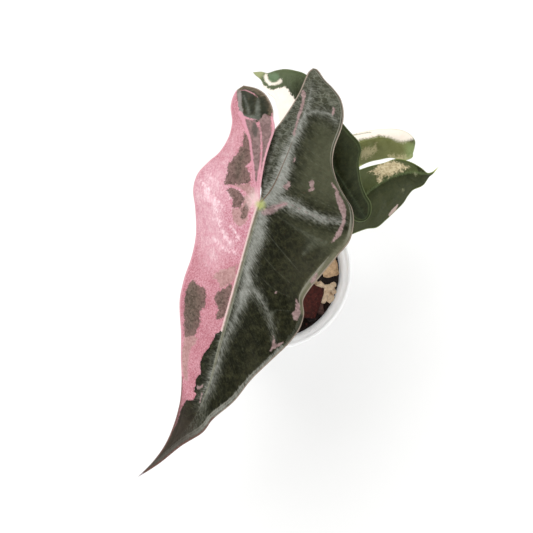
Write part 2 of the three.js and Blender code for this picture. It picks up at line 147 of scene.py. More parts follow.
INNER_BAND = BAND_RADIUS - POT_WALL
INNER_TOP = WALL_TOP_RADIUS - POT_WALL
pot_profile = [
    (0, 1.4), (1.6, 1.4), (2.0, 0.5), (3.0, 0.0), (11.6, 0.0), (12.1, 0.3), (12.8, 1.6), (13.4, 2.0),
    (24.6, 2.0), (25.2, 1.6), (25.8, 0.3), (26.3, 0), (29.0, 0), (29.6, 0.2), (29.95, 0.8),
    (wall_radius(4), 4), (wall_radius(20), 20), (wall_radius(40), 40), (wall_radius(58), 58),
    (wall_radius(65), 65), (WALL_TOP_RADIUS + 0.1, 65.8), (WALL_TOP_RADIUS + 0.7, 66.1),
    (BAND_RADIUS - 0.5, 66.2), (BAND_RADIUS - 0.1, 66.5), (BAND_RADIUS + 0.05, 67),
    (BAND_RADIUS + 0.45, 70.5), (RIM_RADIUS - 0.1, 73), (RIM_RADIUS, 73.9), (RIM_RADIUS - 0.15, 74.5),
    (RIM_RADIUS - 0.45, 74.88), (RIM_RADIUS - 0.9, POT_HEIGHT), (RIM_RADIUS - 1.3, 74.88),
    (RIM_RADIUS - 1.6, 74.5), (RIM_RADIUS - 1.75, 73.9), (INNER_BAND + 0.1, 70), (INNER_BAND, 68.4),
    (INNER_BAND - 0.4, 67.6), (INNER_TOP + 0.2, 66.6), (INNER_TOP, 65.8),
    (wall_radius(45) - POT_WALL, 45), (wall_radius(25) - POT_WALL, 25),
    (wall_radius(6) - POT_WALL, 6), (wall_radius(4.2) - POT_WALL - 0.5, 4.2),
    (wall_radius(3.5) - POT_WALL - 1.5, POT_FLOOR), (20, POT_FLOOR), (0, POT_FLOOR),
]
pot_mesh = mesh_of(turned(pot_profile, POT_STEPS), "white_pot")
drills = bmesh.new()
for i in range(DRAIN_COUNT):
    angle = 2 * math.pi * (i + 0.5) / DRAIN_COUNT
    at = Matrix.Translation((DRAIN_CIRCLE * math.cos(angle), DRAIN_CIRCLE * math.sin(angle), POT_FLOOR))
    bmesh.ops.create_cone(drills, cap_ends=True, segments=32, radius1=DRAIN_RADIUS, radius2=DRAIN_RADIUS,
                          depth=3 * POT_FLOOR, matrix=at)
drill = set_up("drain_drill", mesh_of(drills, "drain_drill"))
blank = set_up("pot_blank", pot_mesh)
drain = blank.modifiers.new("drain holes", "BOOLEAN")
drain.operation = "DIFFERENCE"
drain.solver = "EXACT"
drain.object = drill
drilled = bpy.data.meshes.new_from_object(blank.evaluated_get(bpy.context.evaluated_depsgraph_get()))
bpy.data.objects.remove(blank)
bpy.data.objects.remove(drill)

# Moulded polypropylene: a satin skin from a polished tool, slightly translucent, with the faint
# orange peel of a thick moulding, and dust from the mix clinging to the inside of the wall
DUST_FOOT, DUST_TOP = 56, 68
plastic, place = new_skin("moulded white polypropylene")
height = add(plastic, "SeparateXYZ", place)
peel = add(plastic, "TexNoise", Vector=place, Scale=per(1.1), Detail=2.0)
dust_grain = add(plastic, "TexNoise", Vector=place, Scale=per(0.9), Detail=6.0, Roughness=0.7)
outwards = add(plastic, "VectorMath", place, (1, 1, 0), operation="MULTIPLY")
out = add(plastic, "VectorMath", outwards, operation="LENGTH").outputs["Value"]
inner_wall = add(plastic, "MapRange", height.outputs["Z"], DUST_FOOT * MM, DUST_TOP * MM, 1.0, 0.0)
upright = add(plastic, "Math", height.outputs["Z"], (FOOT_RADIUS - WALL_TOP_RADIUS) / BAND_FOOT, out,
              operation="MULTIPLY_ADD")
inside_of = add(plastic, "MapRange", upright, (FOOT_RADIUS - 1) * MM, (FOOT_RADIUS - 0.4) * MM, 1.0, 0.0)
dusty = add(plastic, "MapRange", dust_grain, 0.6, 0.78, 0.0, 0.5)
dusty = add(plastic, "Math", dusty, inner_wall, operation="MULTIPLY")
dusty = add(plastic, "Math", dusty, inside_of, operation="MULTIPLY")
cloud = add(plastic, "TexNoise", Vector=place, Scale=per(14), Detail=3.0)
white = add(plastic, "MixRGB", cloud, "#F1F1F4", "#F8F8FA")
soiled = add(plastic, "MixRGB", dusty, white, "#5B4336")
gloss = add(plastic, "MapRange", dusty, 0.0, 0.6, 0.33, 0.85)
bumpy = add(plastic, "Bump", Height=peel, Strength=0.06, Distance=0.0002)
finish_skin(plastic, Base_Color=soiled, Roughness=gloss, Normal=bumpy, IOR=1.49, Subsurface_Weight=0.7,
            Subsurface_Radius=(0.008, 0.008, 0.008), Subsurface_Scale=1.0)
settle(drilled, "white_pot", plastic, "pot")

# Potting mix: compost pressed into the pot, with fir bark, husk and pumice lying
# in its top. The large pieces lie where the CAD's chips lie, by the same seeded rule.
MIX_TOP = 57
CHIP_SEED = 41
# Random numbers that the CAD draws for its ground before the chips
GROUND_DRAWS = 194
CHIP_COUNT = 34
CHIP_INNER, CHIP_OUTER = 15, 34
CHIP_LEAST, CHIP_MOST = 6, 12
CHIP_TURN = 2.4
CLEARANCE = 0.3
# Each corner of a chip is pushed to this least share of its half size, and up to this much more
CORNER_PUSHES = ((0.75, 0.35), (0.75, 0.35), (0.8, 0.3))
# Smoothing wears a chip's corners off and shrinks it, so it is swollen again after each round
CHIP_SWELLING = (1.1, 1.1, 1.12)
CHIP_ROUGHNESS = 0.055
# The chips that show beside the front leaf: size, place, turn and what each is
SHOWN_CHIPS = [
    ((8, 12, 7), (31, 3.5, 58.5), 0.3, "tan"), ((12, 7, 6), (30, -4, 57.5), 0.15, "black"),
    ((6, 6, 6), (26, -9.5, 58.5), 0.8, "pumice"), ((6, 5, 5), (31, -9.5, 58), 0.2, "pumice"),
    ((6, 5, 5), (28, -14, 58), 1.1, "pumice"), ((13, 19, 7), (20, -16, 58.5), -0.25, "red"),
    ((6, 6, 6), (21.5, -24.5, 57.5), 0.6, "black"), ((5, 6, 5), (25.5, -20.5, 57.5), 0.1, "mauve"),
]
CHIP_CORNERS = [(1, 1, 1), (1, 1, -1), (1, -1, 1), (1, -1, -1),
                (-1, 1, -1), (-1, 1, 1), (-1, -1, -1), (-1, -1, 1)]
# Where each kind lies on the colour scale of its material
BARK_TONES = {"black": 0.0, "red": 0.5, "mauve": 1.0}
HUSK_TONES = {"tan": 0.15, "pumice": 0.85}


def inside_radius(z):
    """Radius of the pot's inner wall at a height."""
    return wall_radius(min(z, BAND_FOOT)) - POT_WALL


def seeded(seed):
    """The CAD's own random numbers from 0 to 1."""
    state = seed
    whole = 0xFFFFFFFF
    while True:
        state = (state + 0x6D2B79F5) & whole
        t = ((state ^ (state >> 15)) * (1 | state)) & whole
        t = ((t + (((t ^ (t >> 7)) * (61 | t)) & whole)) & whole) ^ t
        yield ((t ^ (t >> 14)) & whole) / 4294967296


def corner_pushes(numbers):
    """How far each of a chip's eight corners is pushed, drawn as the CAD draws it."""
    return [tuple(least + more * next(numbers) for least, more in CORNER_PUSHES) for _ in CHIP_CORNERS]


def rough_chip(heap, pushes, size, at, turn, tilt, tone, cuts=3):
    """One broken chip: a block with its corners pushed about, cut up, worn, roughened and kept in the pot."""
    bm = bmesh.new()
    tone_layer = bm.verts.layers.float.new("tone")
    for corner in bmesh.ops.create_cube(bm, size=1)["verts"]:
        signs = tuple(1 if value > 0 else -1 for value in corner.co)
        pushed = pushes[CHIP_CORNERS.index(signs)]
        corner.co = [sign * length / 2 * push for sign, length, push in zip(signs, size, pushed)]
    bmesh.ops.subdivide_edges(bm, edges=bm.edges, cuts=cuts, use_grid_fill=True)
    for _ in range(2 if tone in HUSK_TONES.values() else 1):
        bmesh.ops.smooth_vert(bm, verts=bm.verts, factor=0.5,
                              use_axis_x=True, use_axis_y=True, use_axis_z=True)
        bmesh.ops.scale(bm, vec=CHIP_SWELLING, verts=bm.verts)
    rough = CHIP_ROUGHNESS * min(size)
    for spot in bm.verts:
        spot.co += Vector([rough * (2 * wear.random() - 1) for _ in range(3)])
        spot[tone_layer] = tone
    bmesh.ops.transform(bm, verts=bm.verts, matrix=Matrix.Translation(at) @ Matrix.Rotation(turn, 4, "Z")
                        @ Matrix.Rotation(tilt, 4, "X"))
    for spot in bm.verts:
        spread = math.hypot(spot.co.x, spot.co.y)
        most = inside_radius(spot.co.z) - CLEARANCE
        if spread > most:
            spot.co.x *= most / spread
            spot.co.y *= most / spread
    bmesh.ops.recalc_face_normals(bm, faces=bm.faces)
    chip = bpy.data.meshes.new("chip")
    bm.to_mesh(chip)
    bm.free()
    heap.from_mesh(chip)
    bpy.data.meshes.remove(chip)


wear = random.Random(7)
numbers = seeded(CHIP_SEED)
for _ in range(GROUND_DRAWS):
    next(numbers)
chips = []
for size, at, turn, kind in SHOWN_CHIPS:
    tilt = 0.2 * next(numbers)
    chips.append((corner_pushes(numbers), size, at, turn, tilt, kind))
for i in range(CHIP_COUNT):
    angle = CHIP_TURN * i + 0.5 * next(numbers)
    spread = CHIP_INNER + (CHIP_OUTER - CHIP_INNER) * math.sqrt(next(numbers))
    length = CHIP_LEAST + (CHIP_MOST - CHIP_LEAST) * next(numbers)
    size = (length, length * (0.5 + 0.3 * next(numbers)), length * 0.6)
    at = (spread * math.cos(angle), spread * math.sin(angle), MIX_TOP + 1.2 * next(numbers))
    turn = math.pi * next(numbers)
    tilt = 0.8 * (next(numbers) - 0.5)
    if any(math.hypot(spot[0] - at[0], spot[1] - at[1]) < CHIP_LEAST for _, spot, _, _ in SHOWN_CHIPS):
        continue
    pushes = corner_pushes(numbers)
    kind = wear.choice(["red", "red", "black", "mauve", "tan", "pumice"])
    chips.append((pushes, size, at, turn, tilt, kind))

# Fir bark: broken along its layers, rough and matt, from near-black over red-brown to a greyed mauve
bark, place = new_skin("broken fir bark")
tone = add(bark, "Attribute", attribute_name="tone").outputs["Fac"]
layered = add(bark, "Mapping", Vector=place, Scale=(1.0, 1.0, 3.0))
grain = add(bark, "TexNoise", Vector=layered, Scale=per(1.6), Detail=7.0, Roughness=0.68)
fleck = add(bark, "TexNoise", Vector=place, Scale=per(0.7), Detail=3.0)
dark_red = add(bark, "MapRange", tone, 0.0, 0.5)
greyed = add(bark, "MapRange", tone, 0.5, 1.0)
body = add(bark, "MixRGB", dark_red, "#17110F", "#54231D")
body = add(bark, "MixRGB", greyed, body, "#6D5049")
streaks = add(bark, "MapRange", grain, 0.42, 0.66, 0.0, 0.8)
body = add(bark, "MixRGB", streaks, body, "#1B100E")
pale = add(bark, "MapRange", fleck, 0.62, 0.74, 0.0, 0.35)
body = add(bark, "MixRGB", pale, body, "#8E6A58")
broken = add(bark, "Bump", Height=grain, Strength=0.8, Distance=0.0006)
finish_skin(bark, Base_Color=body, Roughness=0.78, Normal=broken, IOR=1.45, Specular_IOR_Level=0.3)

# Husk and pumice: dry tan coir husk and pale volcanic stone, both full of fine pores
stone, place = new_skin("coir husk and pumice")
tone = add(stone, "Attribute", attribute_name="tone").outputs["Fac"]
pores = add(stone, "TexVoronoi", Vector=place, Scale=per(0.8), feature="F1").outputs["Distance"]
stain = add(stone, "TexNoise", Vector=place, Scale=per(2.4), Detail=6.0, Roughness=0.65)
body = add(stone, "MixRGB", tone, "#DBB68D", "#FCE4C6")
stained = add(stone, "MapRange", stain, 0.47, 0.7, 0.0, 0.6)
body = add(stone, "MixRGB", stained, body, "#7E5A43")
pitted = add(stone, "MapRange", pores, 0.0, 0.35, 0.4, 0.0)
body = add(stone, "MixRGB", pitted, body, "#8A6B50")
porous = add(stone, "Bump", Height=pores, Strength=0.7, Distance=0.0004)
finish_skin(stone, Base_Color=body, Roughness=0.85, Normal=porous, IOR=1.5, Specular_IOR_Level=0.3)

# Compost: black-brown, crumbly and damp, so it is darker than the chips and faintly glossy in places
compost, place = new_skin("damp compost")
crumb = add(compost, "TexNoise", Vector=place, Scale=per(1.3), Detail=8.0, Roughness=0.7)
clod = add(compost, "TexNoise", Vector=place, Scale=per(5), Detail=3.0)
# Painted light and shade: crumbs that stand up are painted lighter, and the hollows between them darker
lit = add(compost, "MapRange", crumb, 0.4, 0.7)
body = add(compost, "MixRGB", lit, "#140E0C", "#3A2820")
body = add(compost, "MixRGB", add(compost, "MapRange", clod, 0.5, 0.7, 0.0, 0.6), body, "#241712")
crumbly = add(compost, "Bump", Height=crumb, Strength=0.9, Distance=0.0008)
finish_skin(compost, Base_Color=body, Roughness=0.8, Normal=crumbly, IOR=1.45, Specular_IOR_Level=0.35)

GROUND_RINGS = 36
GROUND_STEPS = 120
WAVE_COUNT = 14
WAVE_HEIGHT = 0.3
CRUMB_HEIGHT = 0.5
ground_foot = POT_FLOOR + CLEARANCE
top_edge = inside_radius(MIX_TOP) - CLEARANCE
ground_profile = [(0, ground_foot), (inside_radius(ground_foot) - 1.8, ground_foot),
                  (inside_radius(ground_foot + 1.5) - CLEARANCE, ground_foot + 1.5),
                  (inside_radius(30) - CLEARANCE, 30), (top_edge, MIX_TOP)]
ground_profile += [(top_edge * (1 - step / GROUND_RINGS), MIX_TOP) for step in range(1, GROUND_RINGS + 1)]
ground = turned(ground_profile, GROUND_STEPS)
crumbs = random.Random(11)
waves = [(crumbs.uniform(0.12, 0.5), crumbs.uniform(0, math.pi), crumbs.uniform(0, 6.3))
         for _ in range(WAVE_COUNT)]
for spot in ground.verts:
    if spot.co.z > MIX_TOP - 0.01:
        from_wall = top_edge - math.hypot(spot.co.x, spot.co.y)
        lift = WAVE_HEIGHT * sum(
            math.sin(pitch * (spot.co.x * math.cos(way) + spot.co.y * math.sin(way)) + start)
            for pitch, way, start in waves)
        lift += CRUMB_HEIGHT * crumbs.uniform(-1, 1)
        spot.co.z += lift * min(1, from_wall / 2)
settle(mesh_of(ground, "compost"), "compost", compost, "potting_mix")

# Pumice bits that show between the chips: place and length
SHOWN_BITS = [(24.5, -6, 3.6), (33.2, -7, 4), (32, -15, 4.4), (33.5, -11, 3.4), (23.5, -2.5, 3.5)]
for name, kinds, skin, shown_bits, strewn_bits in (("bark_chips", BARK_TONES, bark, [], 170),
                                                   ("husk_and_pumice", HUSK_TONES, stone, SHOWN_BITS, 90)):
    heap = bmesh.new()
    for pushes, size, at, turn, tilt, kind in chips:
        if kind in kinds:
            rough_chip(heap, pushes, size, at, turn, tilt, kinds[kind])
    for x, y, length in shown_bits:
        rough_chip(heap, [(0.9, 0.95, 1)] * 8, (length, 0.8 * length, 0.7 * length), (x, y, MIX_TOP + 1.6),
                   x, 0.2, HUSK_TONES["pumice"], cuts=2)
    # Small bits of the same stuff, strewn over the whole top
    for _ in range(strewn_bits):
        spread = 10 + 26 * math.sqrt(wear.random())
        angle = 2 * math.pi * wear.random()
        length = 1.2 + 2.6 * wear.random() ** 2
        size = (length, length * wear.uniform(0.5, 0.9), length * wear.uniform(0.4, 0.7))
        at = (spread * math.cos(angle), spread * math.sin(angle), MIX_TOP + 0.5 + 0.9 * wear.random())
        pushes = [[wear.uniform(0.7, 1.1) for _ in range(3)] for _ in CHIP_CORNERS]
        kind = wear.choice(sorted(kinds))
        turn, tilt = math.pi * wear.random(), wear.uniform(-0.6, 0.6)
        rough_chip(heap, pushes, size, at, turn, tilt, kinds[kind], cuts=1)
    settle(mesh_of(heap, name), name, skin, "potting_mix")

# Stem: the short corky knob that the leaves grow from, ringed with old leaf
# scars and wrapped in the dry papery sheaths of leaves that have gone.
STEM_RADIUS = 9
STEM_FOOT = 35
STEM_TOP = 70
STEM_STEPS = 72
SCAR_FOOT = STEM_FOOT + 11
SCAR_RINGS = 24
SCAR_PITCH = 14.3 / 15
SCAR_DEPTH = 0.35
stem_profile = [(0, STEM_FOOT), (4, STEM_FOOT + 0.6), (7.5, STEM_FOOT + 4)]
for ring in range(SCAR_RINGS):
    worn_radius = STEM_RADIUS - SCAR_DEPTH * (ring % 3 == 2) - 0.1 * (ring % 2)
    stem_profile.append((worn_radius, SCAR_FOOT + ring * SCAR_PITCH))
stem_profile += [(STEM_RADIUS - 0.8, STEM_TOP - 5), (STEM_RADIUS - 1.5, STEM_TOP - 3.2),
                 (STEM_RADIUS - 2.6, STEM_TOP - 1.6), (4, STEM_TOP - 0.2), (0, STEM_TOP)]
stem_profile.sort(key=lambda spot: spot[1])

# Corky stem with dry sheaths: fibrous, matt, straw to grey-brown, split along its length
papery, place = new_skin("dry leaf sheath")
upright = add(papery, "Mapping", Vector=place, Scale=(1.0, 1.0, 0.12))
fibre = add(papery, "TexNoise", Vector=upright, Scale=per(0.8), Detail=6.0, Roughness=0.6)
patch = add(papery, "TexNoise", Vector=place, Scale=per(5), Detail=4.0)
body = add(papery, "MixRGB", add(papery, "MapRange", fibre, 0.38, 0.62), "#4A3626", "#A98E66")
body = add(papery, "MixRGB", add(papery, "MapRange", patch, 0.45, 0.65, 0.0, 0.7), body, "#6C5A3A")
split = add(papery, "Bump", Height=fibre, Strength=0.6, Distance=0.0004)
finish_skin(papery, Base_Color=body, Roughness=0.72, Normal=split, IOR=1.45)
settle(mesh_of(turned(stem_profile, STEM_STEPS), "stem_knob"), "stem_knob", papery, "stem_base")

# Petioles: round juicy stalks, one to a leaf, thicker where they sheathe the
# stem and slightly swollen under the blade, where they turn it to the light.
BLADE_THICKNESS = 0.8
KEEL_AT_JOINT = 4
KEEL_AT_TIP = 0.4
PETIOLE_FOOT_RADIUS = 2.6
PETIOLE_TOP_RADIUS = 1.9
PETIOLE_UPRIGHT = 4
PETIOLE_SIDES = 24
PETIOLE_RING = 1.6
# A petiole's top runs on by this much, through the clearance and into the keel of its blade
PETIOLE_OVERLAP = 0.8
# The swelling under the blade: how thick, how far below the top, and how long
SWELLING_RISE, SWELLING_DROP, SWELLING_LENGTH = 0.18, 6, 3.5
# Where each petiole meets its blade
JOINTS = {"front": (-6.5, 23.5, 190), "back": (28.5, 41, 163),
          "right": (35.5, 28, 128), "low": (35.5, 56, 112)}


def smooth_run(points, first=0, last=None, fine=20):
    """Close points on the smooth curve through the given ones, or part of it, and how far along each is."""
    last = len(points) - 1 if last is None else last
    spots = np.array(points, float)
    spots = np.vstack([2 * spots[0] - spots[1], spots, 2 * spots[-1] - spots[-2]])
    dense = []
    for i in range(first, last):
        a, b, c, d = spots[i:i + 4]
        before, here, after = (max(np.linalg.norm(q - p) ** 0.5, 1e-4) for p, q in ((a, b), (b, c), (c, d)))
        leave = ((b - a) / before - (c - a) / (before + here) + (c - b) / here) * here
        arrive = ((c - b) / here - (d - b) / (here + after) + (d - c) / after) * here
        for step in range(fine):
            t = step / fine
            dense.append(b + leave * t + (3 * (c - b) - 2 * leave - arrive) * t ** 2
                         + (leave + arrive - 2 * (c - b)) * t ** 3)
    dense.append(spots[last + 1])
    dense = np.array(dense)
    reach = np.concatenate([[0], np.cumsum(np.linalg.norm(np.diff(dense, axis=0), axis=1))])
    return dense, reach


def at_length(dense, reach, length):
    """Points at these lengths along a run of close points."""
    return np.stack([np.interp(length, reach, dense[:, axis]) for axis in range(3)], axis=1)


# Petiole skin: waxy and smooth, pale green with fine lengthwise lines and patches of bronze
stalk, place = new_skin("waxy petiole skin")
drawn_out = add(stalk, "Mapping", Vector=place, Scale=(1.0, 1.0, 0.08))
lines = add(stalk, "TexNoise", Vector=drawn_out, Scale=per(0.5), Detail=3.0)
mottle = add(stalk, "TexNoise", Vector=place, Scale=per(3.5), Detail=5.0, Roughness=0.6)
body = add(stalk, "MixRGB", add(stalk, "MapRange", lines, 0.35, 0.65), "#6E8050", "#97A36E")
body = add(stalk, "MixRGB", add(stalk, "MapRange", mottle, 0.5, 0.66, 0.0, 0.65), body, "#8A6A56")
ribbed = add(stalk, "Bump", Height=lines, Strength=0.25, Distance=0.0002)
finish_skin(stalk, Base_Color=body, Roughness=0.42, Normal=ribbed, IOR=1.42, Subsurface_Weight=0.1,
            Subsurface_Radius=(0.002, 0.003, 0.001), Subsurface_Scale=1.0)


def petiole(leaf, route):
    """A round stalk, drawn out along its route ring by ring, up to the joint of its leaf."""
    x, y, z = JOINTS[leaf]
    top = z - BLADE_THICKNESS - KEEL_AT_JOINT - CLEARANCE
    dense, reach = smooth_run([*route, (x, y, top - PETIOLE_UPRIGHT), (x, y, top)])
    count = int(reach[-1] / PETIOLE_RING)
    centres = at_length(dense, reach, np.linspace(0, reach[-1], count + 1))
    centres[-1, 2] += PETIOLE_OVERLAP
    bm = bmesh.new()
    ring = bmesh.ops.create_circle(bm, cap_ends=True, radius=1, segments=PETIOLE_SIDES)["verts"]
    last = Matrix.Identity(4)
    for i, centre in enumerate(centres):
        way = Vector(centres[min(i + 1, count)] - centres[max(i - 1, 0)])
        part = i / count
        radius = PETIOLE_FOOT_RADIUS + (PETIOLE_TOP_RADIUS - PETIOLE_FOOT_RADIUS) * math.sqrt(part)
        below_top = reach[-1] * (1 - part)
        radius += SWELLING_RISE * math.exp(-((below_top - SWELLING_DROP) / SWELLING_LENGTH) ** 2)
        turn = way.to_track_quat("Z", "Y").to_matrix().to_4x4()
        stand = Matrix.Translation(centre) @ turn @ Matrix.Scale(radius, 4)
        if i:
            edges = [edge for edge in bm.edges if edge.verts[0] in ring and edge.verts[1] in ring]
            made = bmesh.ops.extrude_edge_only(bm, edges=edges)["geom"]
            ring = [v for v in made if isinstance(v, bmesh.types.BMVert)]
        bmesh.ops.transform(bm, matrix=stand @ last.inverted(), verts=ring)
        last = stand
    bmesh.ops.contextual_create(bm, geom=ring)
    bmesh.ops.recalc_face_normals(bm, faces=bm.faces)
    settle(mesh_of(bm, leaf + "_stalk"), leaf + "_stalk", stalk, leaf + "_petiole")


petiole("front", [(-5.2, -0.9, 62), (-6.5, -0.5, 84), (-8, 7, 125), (-7.5, 18, 165)])
petiole("back", [(-2, 4.9, 62), (-1, 9, 84), (8, 22, 122), (20, 35, 146)])
petiole("right", [(4.7, -2.5, 62), (9, 0, 79), (19, 13, 96), (31, 25, 109)])
petiole("low", [(3.9, 3.5, 62), (6.5, 8, 74), (20, 31, 85), (33, 51, 91)])

# Front leaf: the newest and largest blade, long and arrow-shaped, hung point down
# from its petiole. One half is pink and the other near-black green, which is silvery
# along the veins; the veins are sunk, and a vein runs round just inside the edge.

# How the rows of a blade's mesh crowd towards its tip and lobes, and its columns towards the veins
ROW_CROWDING = 1.25
COLUMN_CROWDING = 1.35
# A steep part is thickened straight down by no more than its thickness over this
STEEPEST = 0.3
# The blade thins by this share at its very edge, over this distance
EDGE_THINNING = 0.3
EDGE_REACH = 1.2
FACTS = ("along", "reach", "margin", "half", "under")

# Each leaf is in its own frame, in mm: the joint at 0, +X towards the tip and +Y to the left of that.
# rows counts those above and below the joint. side_veins and lobe_veins are the spaces between the side
# veins, and collar is how far inside the edge the outermost vein runs, for places along the midrib.
# shoulder is the number of the outer edge's point where the rows of the lobe begin.
FRONT = {
    "name": "front", "heading": -115,
    "rows": (220, 104), "columns": 56, "inner_columns": 16,
    "side_veins": 21, "lobe_veins": 12,
    "collar": ((-60, 1.2), (-25, 1.6), (0, 3.2), (40, 2.2), (60, 1.6), (85, 2.4), (105, 3.2)),
    "tip": (139, 0, -52),
    "midrib": [(117, 8.5, -42), (99, 13, -34), (84, 13, -28), (65, 10, -20), (36, 5.5, -8), (11, 1.5, -1)],
    "notch": (0, 0, 0),
    "left": {
        "arch": -0.1, "inner_arch": 0.05, "shoulder": 13, "lobe": (-68, -5, -16),
        "vein": [(-8, 2, 0.5), (-21, 2, 1), (-37, 1, 0), (-50, 0, -4)],
        "outer": [
            (133.5, 3.5, -49), (127.5, 7, -46), (115, 13, -40), (104.5, 19.5, -36), (97.5, 21, -34),
            (85, 26.5, -29), (72.5, 29.5, -26), (60.5, 34, -23), (50, 38, -20), (42, 39.5, -18),
            (35.5, 38.5, -16), (30, 35.5, -14), (24, 36, -13), (16.5, 38, -12.5), (5.5, 41, -12),
            (-2, 43, -11), (-7, 42.5, -10), (-12.5, 40.5, -9), (-16.5, 37.5, -7.5), (-19, 33.5, -6.5),
            (-22.5, 28.5, -6), (-27, 24, -5.5), (-30.5, 21.5, -5), (-36.5, 19.5, -5), (-47, 18.5, -6),
            (-53.5, 16.5, -7.5), (-59, 12.5, -9), (-62.5, 7, -11), (-64.5, 2.5, -12.5), (-68, -3, -15),
        ],
        "inner": [
            (-6, -2, -1.6), (-9, -3.9, -2.2), (-17.5, -6.5, -2.5), (-25.5, -7.5, -2.5),
            (-32.5, -8, -2.5), (-37.5, -7, -3), (-45, -6, -5), (-54, -5.5, -8), (-61.5, -6, -12),
            (-65.5, -6, -14.5),
        ],
    },
    "right": {
        "arch": 0.06, "inner_arch": 0.04, "shoulder": 14, "lobe": (-48.5, -31, -22),
        "vein": [(-8, -5.5, 0.5), (-17, -11.5, 0), (-26, -17, -2.5), (-38, -24.5, -10)],
        "outer": [
            (129, 3.5, -49), (119, 5.5, -45), (109, 5.5, -42), (96.5, 3.5, -39), (87, 0, -37),
            (78, -4.5, -36), (67, -9.5, -34), (57.5, -14.5, -32), (52.5, -16.5, -30), (43, -18.5, -28),
            (33, -19.5, -27), (23, -22, -27), (12, -27.5, -27), (4.5, -32, -26), (-2.5, -33, -24),
            (-9.5, -30.5, -21), (-15.5, -27.5, -18), (-23.5, -26.5, -16), (-30, -28, -16),
            (-37, -32, -18.5), (-44.5, -33, -21.5),
        ],
        "inner": [
            (-6.5, -2.5, 0.5), (-17, -5.5, 1), (-26, -7, 0.5), (-33, -8, -0.5), (-37, -10.5, -3),
            (-41, -12.5, -6.5), (-44.5, -15.5, -10), (-47.5, -19.5, -13.5), (-49, -24, -17.5),
            (-49, -27.5, -20),
        ],
    },
}


def blade_mesh(leaf):
    """A blade of even thickness with a keel under its midrib, in the leaf's own frame.

    Each vertex also knows how far along the midrib it is, how far out from its vein and from the edge,
    which half it is on, and whether it is on the underside."""
    bm = bmesh.new()
    facts = {name: bm.verts.layers.float.new(name) for name in (*FACTS, "keel")}
    to_joint, to_lobe = leaf["rows"]
    midrib, reach = smooth_run([leaf["tip"], *leaf["midrib"], (0, 0, 0)])
    crowded = np.linspace(0, 1, to_joint + 1) ** ROW_CROWDING
    thinned = 1 - (1 - np.linspace(0, 1, to_lobe + 1)) ** ROW_CROWDING
    upper = at_length(midrib, reach, reach[-1] * crowded)

    def rib(length):
        """Depth of the keel under the midrib, which runs out along each lobe."""
        part = 1 - length / reach[-1] if length >= 0 else 1 + length / vein_reach[-1]
        return KEEL_AT_TIP + (KEEL_AT_JOINT - KEEL_AT_TIP) * max(part, 0) ** 3

    def lay(spine, edge, lengths, columns, arch, sign, outwards):
        """One strip of the blade, from its vein to its edge."""
        rows = len(spine) - 1
        widths = np.linalg.norm(edge - spine, axis=1)
        made = bmesh.ops.create_grid(bm, x_segments=columns, y_segments=rows, size=1)["verts"]
        for spot in made:
            i, j = round((spot.co.y + 1) / 2 * rows), round((spot.co.x + 1) / 2 * columns)
            s = (j / columns) ** COLUMN_CROWDING
            co = spine[i] * (1 - s) + edge[i] * s
            co[2] += arch[i] * widths[i] * 4 * s * (1 - s)
            spot.co = co
            spot[facts["along"]] = lengths[i]
            spot[facts["reach"]] = sign * outwards * widths[i] * s
            spot[facts["margin"]] = widths[i] * (1 - s)
            spot[facts["half"]] = sign * (widths[i] * s + max(0, -lengths[i]))
            spot[facts["keel"]] = rib(lengths[i]) if j == 0 else 0
        if sign * outwards > 0:
            bmesh.ops.reverse_faces(bm, faces=list({face for spot in made for face in spot.link_faces}))

    for sign, side in ((1, leaf["left"]), (-1, leaf["right"])):
        vein, vein_reach = smooth_run([(0, 0, 0), *side["vein"], side["lobe"]])
        outer = [leaf["tip"], *side["outer"], side["lobe"]]
        shoulder = side["shoulder"] + 1
        down, down_reach = smooth_run(outer, 0, shoulder)
        back, back_reach = smooth_run(outer, shoulder)
        inner, inner_reach = smooth_run([leaf["notch"], *side["inner"], side["lobe"]])
        spine = np.vstack([upper, at_length(vein, vein_reach, vein_reach[-1] * thinned)[1:]])
        edge = np.vstack([at_length(down, down_reach, down_reach[-1] * crowded),
                          at_length(back, back_reach, back_reach[-1] * thinned)[1:]])
        lengths = np.concatenate([reach[-1] * (1 - crowded), -vein_reach[-1] * thinned[1:]])
        lay(spine, edge, lengths, leaf["columns"], np.full(len(spine), side["arch"]), sign, 1)
        inner_edge = at_length(inner, inner_reach, inner_reach[-1] * thinned)
        inner_arch = side["inner_arch"] * np.minimum(1, np.arange(to_lobe + 1) / 4)
        lay(spine[to_joint:], inner_edge, lengths[to_joint:], leaf["inner_columns"], inner_arch, sign, -1)
    bmesh.ops.remove_doubles(bm, verts=bm.verts, dist=1e-4)
    bm.normal_update()

    def spot_key(spot):
        """A vertex's place, rounded so that its copy below is matched with it."""
        return tuple(round(value, 4) for value in spot.co)

    depth_at = {}
    for spot in bm.verts:
        thin = 1 - EDGE_THINNING * math.exp(-(spot[facts["margin"]] / EDGE_REACH) ** 2)
        upright = max(abs(spot.normal.z), STEEPEST)
        depth_at[spot_key(spot)] = thin * BLADE_THICKNESS / upright + spot[facts["keel"]]
    for spot in bmesh.ops.extrude_face_region(bm, geom=list(bm.faces), use_keep_orig=True)["geom"]:
        if isinstance(spot, bmesh.types.BMVert):
            spot.co.z -= depth_at[spot_key(spot)]
            spot[facts["under"]] = 1
    bmesh.ops.recalc_face_normals(bm, faces=bm.faces)
    mesh = bpy.data.meshes.new(leaf["name"] + "_leaf")
    bm.to_mesh(mesh)
    bm.free()
    return mesh


